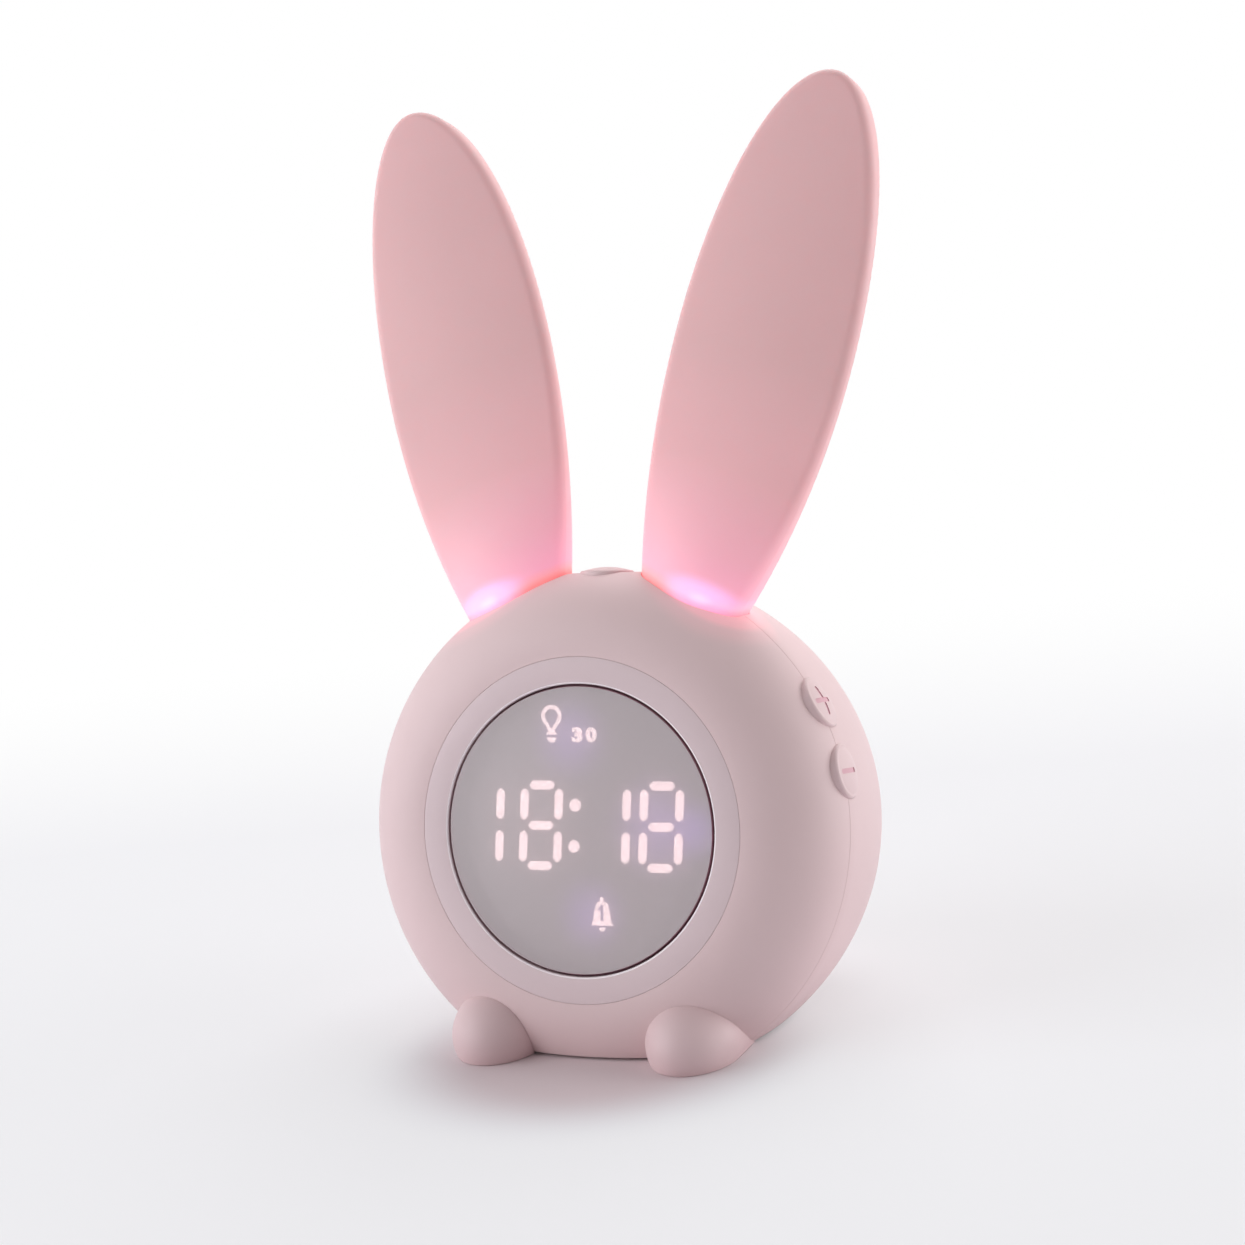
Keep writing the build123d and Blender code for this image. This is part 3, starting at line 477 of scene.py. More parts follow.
@dataclass(frozen=True)
class EarPlaces:
    """Places of a surface round the ears' roots, alike for both ears, in millimetres."""

    lamp_aside: float = 2.8

    def sockets(self, recipe: Recipe) -> tuple:
        """Height over the casing's skin, and place across, along and out of the ear.

        Args:
            recipe: The material that reads the places.

        Returns:
            Four sockets with the four distances.
        """
        apart = recipe.tree.nodes.new("ShaderNodeSeparateXYZ")
        recipe.tree.links.new(recipe.coordinates, apart.inputs[0])
        folded = recipe.tree.nodes.new("ShaderNodeCombineXYZ")
        recipe.tree.links.new(recipe.math("ABSOLUTE", apart.outputs[0]), folded.inputs[0])
        recipe.tree.links.new(apart.outputs[1], folded.inputs[1])
        recipe.tree.links.new(apart.outputs[2], folded.inputs[2])
        place = folded.outputs[0]
        head = HEAD.matrix()
        forward = (head.to_3x3() @ Vector((0, 0, 1))).normalized()
        offset = recipe.vector("SUBTRACT", place, head.translation).outputs["Vector"]
        along = recipe.vector("DOT_PRODUCT", offset, forward).outputs["Value"]
        reach = recipe.vector("DOT_PRODUCT", offset, offset).outputs["Value"]
        across = recipe.math("SQRT", recipe.math("SUBTRACT", reach, recipe.math("MULTIPLY", along, along)))
        share = recipe.math("MULTIPLY", along, 1 / (MM * SKIN.face_depth), clamp=True)
        bow = recipe.math("SQRT", recipe.math("SUBTRACT", 1.0, recipe.math("MULTIPLY", share, share)))
        side = recipe.math("MULTIPLY", bow, SKIN.radius - SKIN.face_radius)
        skin = recipe.math("ADD", side, SKIN.face_radius)
        above = recipe.math("SUBTRACT", recipe.math("MULTIPLY", across, 1 / MM), skin)
        ear = head @ EarShape().matrix()
        turn = ear.to_3x3()
        shifted = recipe.vector("SUBTRACT", place, ear.translation).outputs["Vector"]
        sides = []
        for axis in ((1, 0, 0), (0, 1, 0), (0, 0, 1)):
            way = (turn @ Vector(axis)).normalized() / MM
            sides.append(recipe.vector("DOT_PRODUCT", shifted, way).outputs["Value"])
        return above, recipe.math("SUBTRACT", sides[0], self.lamp_aside), sides[1], sides[2]


@dataclass(frozen=True)
class LitShell(SoftTouch):
    """Satin casing plastic with a painted glow of the lamps' pink round the ears' roots, given off as
    emission.
    """

    painted_spill_glow: tuple = (0.34, 0.05, 0.075)
    reach_aside: float = 16.0
    reach_along: float = 30.0
    reach_beyond: float = 11.5
    lowest: float = -1.0

    def make(self) -> bpy.types.Material:
        """Build the material."""
        recipe = self.start()
        above, aside, along, beyond = EarPlaces().sockets(recipe)
        reaches = ((aside, self.reach_aside), (along, self.reach_along), (beyond, self.reach_beyond))
        shares = [recipe.math("DIVIDE", place, reach) for place, reach in reaches]
        # Painted glow: emission in the lamps' pink, strongest by the ears' roots and fading away from them,
        # only on the skin's outer side.
        painted_glow = recipe.ramp(recipe.span(*shares), [
            (0.3, self.painted_spill_glow), (0.62, shade(self.painted_spill_glow, 0.75)), (0.78, shade(self.painted_spill_glow, 0.22)),
            (1.0, (0.0, 0.0, 0.0)),
        ], "EASE")
        outside = recipe.vector("SCALE", painted_glow)
        recipe.tree.links.new(recipe.math("GREATER_THAN", above, self.lowest), outside.inputs["Scale"])
        recipe.link(outside.outputs["Vector"], "Emission Color")
        recipe.set(Emission_Strength=1.0)
        return recipe.done()


@dataclass(frozen=True)
class EarSilicone:
    """Milky silicone that glows from its root, where the lamp sits, with a salmon base colour painted along
    the root to stand for that glow.
    """

    name: str = "ear_silicone"
    colour: tuple = srgb(240, 192, 193)
    # Salmon base colour painted along the root, standing for the lamp's glow there.
    root: tuple = (1.0, 0.40, 0.40)
    painted_root_glow_span: tuple = (0.2, 1.6)
    glow_reach: float = 46.0
    heart_aside: float = 10.0
    heart_low: float = 1.5
    heart_tall: float = 4.4

    def make(self) -> bpy.types.Material:
        """Build the material."""
        recipe = Recipe(self.name)
        above, aside, _, _ = EarPlaces().sockets(recipe)
        cloud = recipe.noise(24.0, 2.0)
        colour = recipe.ramp(cloud, [(0.3, shade(self.colour, 0.98)), (0.7, shade(self.colour, 1.02))])
        # Painted glow: the base colour turns salmon along the root, within a millimetre or so of the casing's
        # skin.
        mix = recipe.tree.nodes.new("ShaderNodeMix")
        mix.data_type = "RGBA"
        recipe.tree.links.new(recipe.smooth(above, *self.painted_root_glow_span), mix.inputs[0])
        mix.inputs[6].default_value = (*self.root, 1.0)
        recipe.tree.links.new(colour, mix.inputs[7])
        recipe.link(mix.outputs[2], "Base Color")
        recipe.bump(recipe.noise(4200.0, 2.0, 0.6), 0.00002, 0.3)
        recipe.set(Roughness=0.56, Sheen_Weight=0.12, Sheen_Roughness=0.5, IOR=1.41)
        recipe.set(Subsurface_Weight=0.25, Subsurface_Scale=0.004)
        recipe.shader.inputs["Subsurface Radius"].default_value = (1.0, 0.4, 0.4)
        recipe.link(self.glow(recipe, above, aside), "Emission Color")
        recipe.set(Emission_Strength=1.0)
        return recipe.done()

    def glow(self, recipe: Recipe, above: object, aside: object) -> bpy.types.NodeSocket:
        """Light that the silicone gives off: a pink fade, a salmon foot and a violet heart."""
        share = recipe.math("DIVIDE", above, self.glow_reach, clamp=True)
        fade = recipe.ramp(share, [
            (0.0, (0.45, 0.06, 0.06)), (0.02, (0.50, 0.08, 0.10)), (0.06, (0.42, 0.09, 0.22)),
            (0.22, (0.27, 0.06, 0.13)), (0.52, (0.10, 0.02, 0.035)), (1.0, (0.0, 0.0, 0.0)),
        ])
        flat = recipe.math("DIVIDE", aside, self.heart_aside)
        tall = recipe.math("DIVIDE", recipe.math("SUBTRACT", above, self.heart_low), self.heart_tall)
        heart = recipe.ramp(recipe.span(flat, tall), [
            (0.0, (0.30, 0.34, 0.62)), (0.35, (0.20, 0.18, 0.44)), (1.0, (0.0, 0.0, 0.0)),
        ], "EASE")
        return recipe.vector("ADD", fade, heart).outputs["Vector"]


@dataclass(frozen=True)
class SmokedLens:
    """Grey half-mirrored acrylic that the lit figures shine through."""

    name: str = "smoked_lens"
    colour: tuple = srgb(224, 212, 214)
    alpha: float = 0.6

    def make(self) -> bpy.types.Material:
        """Build the material."""
        recipe = Recipe(self.name)
        recipe.paint(recipe.noise(18.0, 1.0), self.colour, 0.96, 1.03, (0.2, 0.8))
        recipe.bump(recipe.noise(300.0, 1.0), 0.000004, 0.2)
        recipe.set(Roughness=0.28, IOR=1.49, Alpha=self.alpha, Specular_IOR_Level=0.4)
        return recipe.done()


@dataclass(frozen=True)
class LitFilm:
    """Grey mask film with a painted violet bloom, given off as emission, round what is lit behind it."""

    name: str = "lit_film"
    colour: tuple = srgb(176, 166, 168)
    blooms: tuple = ((-3.5, 17.5, 10.0), (14.5, 0.5, 12.0), (22.5, 0.0, 7.0), (0.5, -16.5, 9.0))
    violet: tuple = (0.24, 0.13, 0.58)

    def make(self) -> bpy.types.Material:
        """Build the material."""
        recipe = Recipe(self.name)
        recipe.paint(recipe.noise(900.0), self.colour, 0.97, 1.0)
        recipe.set(Roughness=0.6)
        total = None
        head = HEAD.matrix()
        for x, y, reach in self.blooms:
            middle = head @ Vector((x, y, FILM_FRONT))
            gap = recipe.vector("SUBTRACT", recipe.coordinates, middle).outputs["Vector"]
            away = recipe.vector("LENGTH", gap).outputs["Value"]
            share = recipe.math("DIVIDE", away, reach * MM)
            bloom = recipe.ramp(share, [(0.0, self.violet), (1.0, (0, 0, 0))], "EASE")
            total = bloom if total is None else recipe.vector("ADD", total, bloom).outputs["Vector"]
        # Painted glow: the violet blooms are emission on the film round the lit figures.
        recipe.link(total, "Emission Color")
        recipe.set(Emission_Strength=1.0)
        return recipe.done()


@dataclass(frozen=True)
class Lamp:
    """Evenly lit window."""

    name: str
    colour: tuple
    strength: float

    def make(self) -> bpy.types.Material:
        """Build the material."""
        recipe = Recipe(self.name)
        cloud = recipe.noise(700.0, 1.0)
        lit = recipe.ramp(cloud, [(0.2, shade(self.colour, 0.96)), (0.8, self.colour)])
        recipe.link(lit, "Base Color")
        recipe.link(lit, "Emission Color")
        recipe.set(Emission_Strength=self.strength, Roughness=0.5)
        return recipe.done()


@dataclass(frozen=True)
class Moulded:
    """Plain moulded plastic, resin or rubber with a fine grain."""

    name: str
    colour: tuple
    roughness: float = 0.5
    grain_scale: float = 3000.0
    grain: float = 0.00002

    def make(self) -> bpy.types.Material:
        """Build the material."""
        recipe = Recipe(self.name)
        recipe.paint(recipe.noise(120.0), self.colour, 0.93, 1.04)
        recipe.bump(recipe.noise(self.grain_scale, 2.0), self.grain, 0.5)
        recipe.set(Roughness=self.roughness)
        return recipe.done()


@dataclass(frozen=True)
class Plated:
    """Plated or pressed steel with fine drawn lines."""

    name: str
    colour: tuple = srgb(190, 190, 194)
    roughness: float = 0.3

    def make(self) -> bpy.types.Material:
        """Build the material."""
        recipe = Recipe(self.name)
        drawn = recipe.node("ShaderNodeMapping", Vector=recipe.coordinates, Scale=(300.0, 300.0, 6000.0))
        lines = recipe.node("ShaderNodeTexNoise", Vector=drawn.outputs["Vector"], Scale=1.0, Detail=3.0)
        recipe.paint(lines.outputs["Fac"], self.colour, 0.85, 1.0)
        recipe.bump(lines.outputs["Fac"], 0.00001, 0.4)
        recipe.set(Metallic=1.0, Roughness=self.roughness)
        return recipe.done()


@dataclass(frozen=True)
class CircuitBoard:
    """Green solder mask over a fine pattern of copper tracks."""

    name: str = "circuit_board"
    mask: tuple = srgb(24, 92, 56)
    track: tuple = srgb(44, 128, 78)

    def make(self) -> bpy.types.Material:
        """Build the material."""
        recipe = Recipe(self.name)
        tracks = recipe.node(
            "ShaderNodeTexBrick", Vector=recipe.coordinates, Scale=260.0, Mortar_Size=0.09, Mortar_Smooth=0.2,
            Color1=(0, 0, 0, 1), Color2=(0.1, 0.1, 0.1, 1), Mortar=(1, 1, 1, 1),
        )
        patches = recipe.math("GREATER_THAN", recipe.noise(180.0, 1.0), 0.5)
        shown = recipe.math("MULTIPLY", tracks.outputs["Color"], patches)
        recipe.link(recipe.ramp(shown, [(0.2, self.mask), (0.7, self.track)]), "Base Color")
        recipe.bump(shown, 0.00003, 0.6)
        recipe.set(Roughness=0.32, Coat_Weight=0.3)
        return recipe.done()


@dataclass(frozen=True)
class Cloth:
    """Fine black weave of the speaker's dust cloth."""

    name: str = "speaker_cloth"
    colour: tuple = srgb(34, 32, 34)
    thread: float = 0.45

    def make(self) -> bpy.types.Material:
        """Build the material."""
        recipe = Recipe(self.name)
        waves = []
        for direction in ("X", "Z"):
            scale = 0.31 / (self.thread * MM)
            wave = recipe.node("ShaderNodeTexWave", Vector=recipe.coordinates, Scale=scale)
            wave.bands_direction = direction
            wave.inputs["Distortion"].default_value = 0.4
            waves.append(wave.outputs["Fac"])
        weave = recipe.math("MULTIPLY", waves[0], waves[1])
        recipe.paint(weave, self.colour, 0.5, 1.6, (0.1, 0.8))
        recipe.bump(weave, 0.0001, 0.8)
        recipe.set(Roughness=0.9, Sheen_Weight=0.3)
        return recipe.done()


class FinishBook:
    """All finishes by the record's material slot, each made once."""

    def __init__(self) -> None:
        """Make every finish."""
        pink = srgb(227, 200, 201)
        self.made = {
            "casing_plastic": LitShell("casing_plastic", pink).make(),
            "ring_plastic": SoftTouch("ring_plastic", srgb(223, 201, 204), 0.46).make(),
            "smoked_lens": SmokedLens().make(),
            "dark_foam": Moulded("dark_foam", srgb(36, 30, 32), 0.95, 1500.0, 0.0001).make(),
            "white_film": LitFilm().make(),
            "white_plastic": Moulded("white_plastic", srgb(226, 226, 224), 0.45).make(),
            "lamp_resin": Moulded("lamp_resin", srgb(244, 238, 226), 0.2).make(),
            "circuit_board": CircuitBoard().make(),
            "chip_plastic": Moulded("chip_plastic", srgb(32, 32, 34), 0.42).make(),
            "screw_steel": Plated("screw_steel").make(),
            "speaker_cloth": Cloth().make(),
            "pressed_steel": Plated("pressed_steel", srgb(182, 182, 186), 0.36).make(),
            "cone_paper": Moulded("cone_paper", srgb(44, 43, 45), 0.85, 1800.0, 0.00008).make(),
            "magnet_ferrite": Moulded("magnet_ferrite", srgb(62, 62, 64), 0.6, 2400.0, 0.00005).make(),
            "inner_plastic": Moulded("inner_plastic", srgb(222, 220, 216), 0.5).make(),
            "cell_sleeve": Moulded("cell_sleeve", srgb(64, 118, 160), 0.25).make(),
            "ear_silicone": EarSilicone().make(),
            "button_silicone": SoftTouch("button_silicone", pink, 0.5, 0.12).make(),
            "pad_rubber": Moulded("pad_rubber", srgb(206, 186, 190), 0.8, 1800.0, 0.00006).make(),
            "foot_plastic": SoftTouch("foot_plastic", srgb(222, 194, 196)).make(),
            "mark": SoftTouch("mark", srgb(222, 176, 186), 0.6).make(),
            "lit_window": Lamp("lit_window", (1.0, 0.78, 0.79), 2.8).make(),
            # Dark paint on the lens' edge, which also stands for the shade in the gap between lens and ring.
            "lens_edge": Moulded("lens_edge", srgb(150, 104, 116), 0.6).make(),
            # Painted highlight on the ring's inner edge, standing for light caught along it.
            "ring_lip_painted_highlight": SoftTouch("ring_lip_painted_highlight", srgb(252, 240, 243), 0.4).make(),
        }

    def get(self, slot: str) -> bpy.types.Material:
        """The finish of a slot."""
        return self.made[slot]


@dataclass
class Bench:
    """Where finished meshes become pieces of the clock."""

    finishes: FinishBook
    pieces: list = field(default_factory=list)

    def piece(
        self, name: str, mesh: bmesh.types.BMesh, place: Matrix, slot: str, body: str = BODY,
        replaces: tuple = (), sharp: float = 35.0, extra: tuple = (), paint: str = "",
    ) -> bpy.types.Object:
        """Make a mesh a piece of the clock.

        Args:
            name: Name of the piece.
            mesh: Its mesh, in millimetres of its own frame.
            place: Matrix from that frame to the row frame.
            slot: Material slot of the record that it takes its finish from.
            body: CAD body that it rides on.
            replaces: CAD nodes that it stands for.
            sharp: Angle above which an edge stays sharp, in degrees.
            extra: Further finishes, used by material number.
            paint: Finish used in place of the slot's own.

        Returns:
            The new object.
        """
        moved(mesh, place)
        data = bpy.data.meshes.new(name)
        mesh.to_mesh(data)
        mesh.free()
        data.materials.append(self.finishes.get(paint or slot))
        for more in extra:
            data.materials.append(self.finishes.get(more))
        data.shade_smooth()
        data.set_sharp_from_angle(angle=math.radians(sharp))
        made = bpy.data.objects.new(name, data)
        bpy.context.scene.collection.objects.link(made)
        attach(made, body)
        if replaces:
            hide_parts(*replaces)
        self.pieces.append(made)
        LOG.info("%s: %d faces on %s", name, len(data.polygons), body)
        return made


# ---------------------------------------------------------------- ears
@dataclass
class EarShape:
    """Leaf of an ear in its own frame: Y along the ear, Z out of its front face."""

    spread: float = 20.0
    base_height: float = 45.0
    offset: float = 2.25
    lean_back: float = 5.84
    lean_out: float = 14.2
    length: float = 103.3
    wide_height: float = 48.3
    inner_reach: float = 18.6
    outer_reach: float = 18.4
    tip_shift: float = 0.8
    root_inner: float = 9.2
    root_outer: float = 7.0
    root_depth: float = 9.5
    edge_half: float = 1.9
    middle_half: float = 3.5
    edge_round: float = 1.7
    swell: float = 3.4
    swell_start: float = 3.0
    swell_reach: float = 16.0

    def matrix(self) -> Matrix:
        """Matrix from the right ear's frame to the head frame."""
        back, out = math.radians(self.lean_back), math.radians(self.lean_out)
        cb, sb, co, so = math.cos(back), math.sin(back), math.cos(out), math.sin(out)
        return Matrix((
            (co, so, 0, self.spread),
            (-so * cb, co * cb, sb, self.base_height),
            (so * sb, -co * sb, cb, self.offset),
            (0, 0, 0, 1),
        ))

    def edges_at(self, y: float, grow: float) -> tuple:
        """Inner and outer edge of the leaf at a height along it."""
        tip = self.length - self.wide_height + grow
        if y >= self.wide_height:
            share = min(1.0, (y - self.wide_height) / tip)
            bow = math.sqrt(1 - share * share)
            inner = self.tip_shift - (self.inner_reach + grow + self.tip_shift) * bow
            outer = self.tip_shift + (self.outer_reach + grow - self.tip_shift) * bow
            return inner, outer
        drop = self.wide_height + self.root_depth
        fall = self.wide_height - y
        sides = []
        for wide, root in ((self.inner_reach, self.root_inner), (self.outer_reach, self.root_outer)):
            run = wide - root
            radius = (run * run + drop * drop) / (2 * run)
            sides.append(wide + grow - (radius - math.sqrt(radius * radius - fall * fall)))
        return -sides[0], sides[1]

    def outline_tree(self, grow: float, samples: int = 900) -> KDTree:
        """Points of the leaf's outline, for finding the distance to it."""
        tree = KDTree(2 * samples)
        low, high = -self.root_depth, self.length + grow
        for i in range(samples):
            y = low + (high - low) * math.sin(math.pi / 2 * i / (samples - 1))
            inner, outer = self.edges_at(y, grow)
            tree.insert(Vector((inner, y, 0)), 2 * i)
            tree.insert(Vector((outer, y, 0)), 2 * i + 1)
        tree.balance()
        return tree

    def leaf(self, grow: float = 0.0, across: int = 44, along: int = 120) -> bmesh.types.BMesh:
        """Closed leaf with crowned faces, a rounded rim and a root that swells over the lamp.

        Args:
            grow: How far it is grown all round.
            across: Number of cells across the leaf.
            along: Number of cells along it.

        Returns:
            The leaf's mesh, in the ear's frame.
        """
        mesh = bmesh.new()
        bmesh.ops.create_grid(mesh, x_segments=across, y_segments=along, size=1)
        tree = self.outline_tree(grow)
        low, high = -self.root_depth, self.length + grow
        rim = self.edge_round
        side = self.inner_reach + 1
        for vertex in mesh.verts:
            u, v = vertex.co.x, (vertex.co.y + 1) / 2
            y = low + (high - low) * math.sin(math.pi / 2 * v)
            inner, outer = self.edges_at(y, grow)
            middle, half = (inner + outer) / 2, (outer - inner) / 2
            share = math.sin(math.pi / 2 * u)
            x = middle + half * share
            crown = self.middle_half - (self.middle_half - self.edge_half) * (x / side) ** 2 + grow
            rise = max(0.0, y - self.swell_start) / self.swell_reach
            crown += self.swell * (1 - share * share) * math.exp(-rise * rise)
            near = tree.find((x, y, 0))[2]
            inset = max(0.0, rim - near)
            vertex.co = (x, y, crown - rim + math.sqrt(max(0.0, rim * rim - inset * inset)))
        front = mesh.faces[:]
        back = bmesh.ops.duplicate(mesh, geom=mesh.verts[:] + mesh.edges[:] + front)["geom"]
        back_verts = [g for g in back if isinstance(g, bmesh.types.BMVert)]
        bmesh.ops.scale(mesh, vec=(1, 1, -1), verts=back_verts)
        rims = [e for e in mesh.edges if e.is_boundary]
        bmesh.ops.bridge_loops(mesh, edges=rims)
        return tidy(mesh, 0.002)


@dataclass
class Ears:
    """The two silicone ears."""

    shape: EarShape = field(default_factory=EarShape)
    slot_clearance: float = 0.15

    def place(self, side: Side) -> Matrix:
        """Matrix from one ear's frame to the head frame."""
        return Matrix.Scale(side.value, 4, (1, 0, 0)) @ self.shape.matrix()

    def slots(self) -> bmesh.types.BMesh:
        """Openings for both ears, in the head frame."""
        grow = self.slot_clearance
        return joined([moved(self.shape.leaf(grow, 24, 60), self.place(side)) for side in Side])

    def build(self, bench: Bench) -> None:
        """Make both ears."""
        for side in Side:
            name = side.name.lower() + "_ear"
            place = HEAD.matrix() @ self.place(side)
            bench.piece(name + "_leaf", self.shape.leaf(), place, "ear_silicone", replaces=(name,), sharp=60)


# ---------------------------------------------------------------- buttons
class Mark(Enum):
    """What is sunk into a button's crown."""

    NONE = "none"
    PLUS = "plus"
    MINUS = "minus"
    BELL = "bell"
    CLOCK = "clock"


@dataclass(frozen=True)
class ButtonSpec:
    """One button: its name, angle from the top, mark, highest point and place along the casing's axis."""

    name: str
    angle: float
    mark: Mark
    top: float
    offset: float


@dataclass
class Buttons:
    """The five sprung buttons."""

    radius: float = 5.33
    crown: float = 0.95
    shoulder: float = 0.6
    collar_radius: float = 6.1
    collar_low: float = 45.8
    collar_high: float = 47.1
    stem_radius: float = 2.0
    stem_end: float = 42.0
    hole_clearance: float = 0.015
    hole_span: tuple = (-8.0, 6.0)
    mark_long: float = 6.0
    mark_wide: float = 0.95
    mark_forward: float = 1.0
    mark_depth: float = 0.2
    bell_radius: float = 1.7
    bell_brim: tuple = (4.2, 0.6)
    bell_drop: float = 2.3
    dial_radii: tuple = (2.2, 2.7)
    hand: tuple = (0.5, 1.6)
    hand_shift: float = 0.6
    specs: tuple = (
        ButtonSpec("light", 0.0, Mark.NONE, 50.45, 1.5),
        ButtonSpec("plus", 61.5, Mark.PLUS, 51.044, 1.5),
        ButtonSpec("minus", 77.5, Mark.MINUS, 51.044, 1.5),
        ButtonSpec("alarm", -61.5, Mark.BELL, 50.681, -9.0),
        ButtonSpec("clock", -77.5, Mark.CLOCK, 50.681, -9.0),
    )

    def holes(self) -> bmesh.types.BMesh:
        """Round openings for all the buttons, in the head frame."""
        made = []
        low, high = (SKIN.radius + reach for reach in self.hole_span)
        for spec in self.specs:
            hole = drum(self.radius + self.hole_clearance, low, high, 64)
            made.append(moved(hole, radial_matrix(spec.angle, spec.offset)))
        return joined(made)

    def cap(self, spec: ButtonSpec) -> bmesh.types.BMesh:
        """Crowned cap with its collar and stem."""
        top = spec.top
        ball = (self.radius ** 2 + self.crown ** 2) / (2 * self.crown)
        edge = top - self.crown
        soft = self.shoulder
        tilt = math.degrees(math.asin((self.radius - soft) / ball))
        wire = Wire().arc((0, top - ball), (ball, ball), 90, -tilt, 12)
        wire.arc((self.radius - soft, edge - soft * 0.55), (soft, soft), 90 - tilt, tilt - 90, 8)
        wire.to(self.radius, self.collar_high).to(self.collar_radius, self.collar_high)
        wire.to(self.collar_radius, self.collar_low).to(self.stem_radius, self.collar_low)
        wire.to(self.stem_radius, self.stem_end).to(0, self.stem_end)
        return turned(wire, 96)

    def bars(self, spec: ButtonSpec) -> list:
        """Cutting tools of a button's mark, with X round the casing and Y along its axis."""
        depth = 2 * self.crown + 1
        middle = spec.top
        low, high = middle - depth / 2, middle + depth / 2
        long, wide = self.mark_long, self.mark_wide
        place = (0, -self.mark_forward, middle)
        sizes = {Mark.PLUS: ((wide, long, depth), (long, wide, depth)), Mark.MINUS: ((wide, long, depth),)}
        if spec.mark in sizes:
            return [block(size, place, wide / 2.5) for size in sizes[spec.mark]]
        if spec.mark is Mark.CLOCK:
            inner, outer = self.dial_radii
            dial = Wire().to(inner, low).to(outer, low).to(outer, high).to(inner, high).close()
            return [turned(dial, 48), block((*self.hand, depth), (0, self.hand_shift, middle), 0.2)]
        if spec.mark is Mark.BELL:
            brim = block((*self.bell_brim, depth), (0, self.bell_drop, middle), 0.25)
            return [drum(self.bell_radius, low, high, 40), brim]
        return []

    def build(self, bench: Bench) -> None:
        """Make the five buttons with their marks."""
        for spec in self.specs:
            mesh = self.cap(spec)
            for tool in self.bars(spec):
                lower = moved(self.cap(spec), Matrix.Translation((0, 0, -self.mark_depth)))
                for face in tool.faces[:] + lower.faces[:]:
                    face.material_index = 1
                mesh = combine(mesh, combine(tool, lower, Cut.DIFFERENCE), Cut.DIFFERENCE)
            place = HEAD.matrix() @ radial_matrix(spec.angle, spec.offset)
            node = spec.name + "_button"
            bench.piece(node + "_cap", mesh, place, "button_silicone", node, (node,), extra=("mark",))


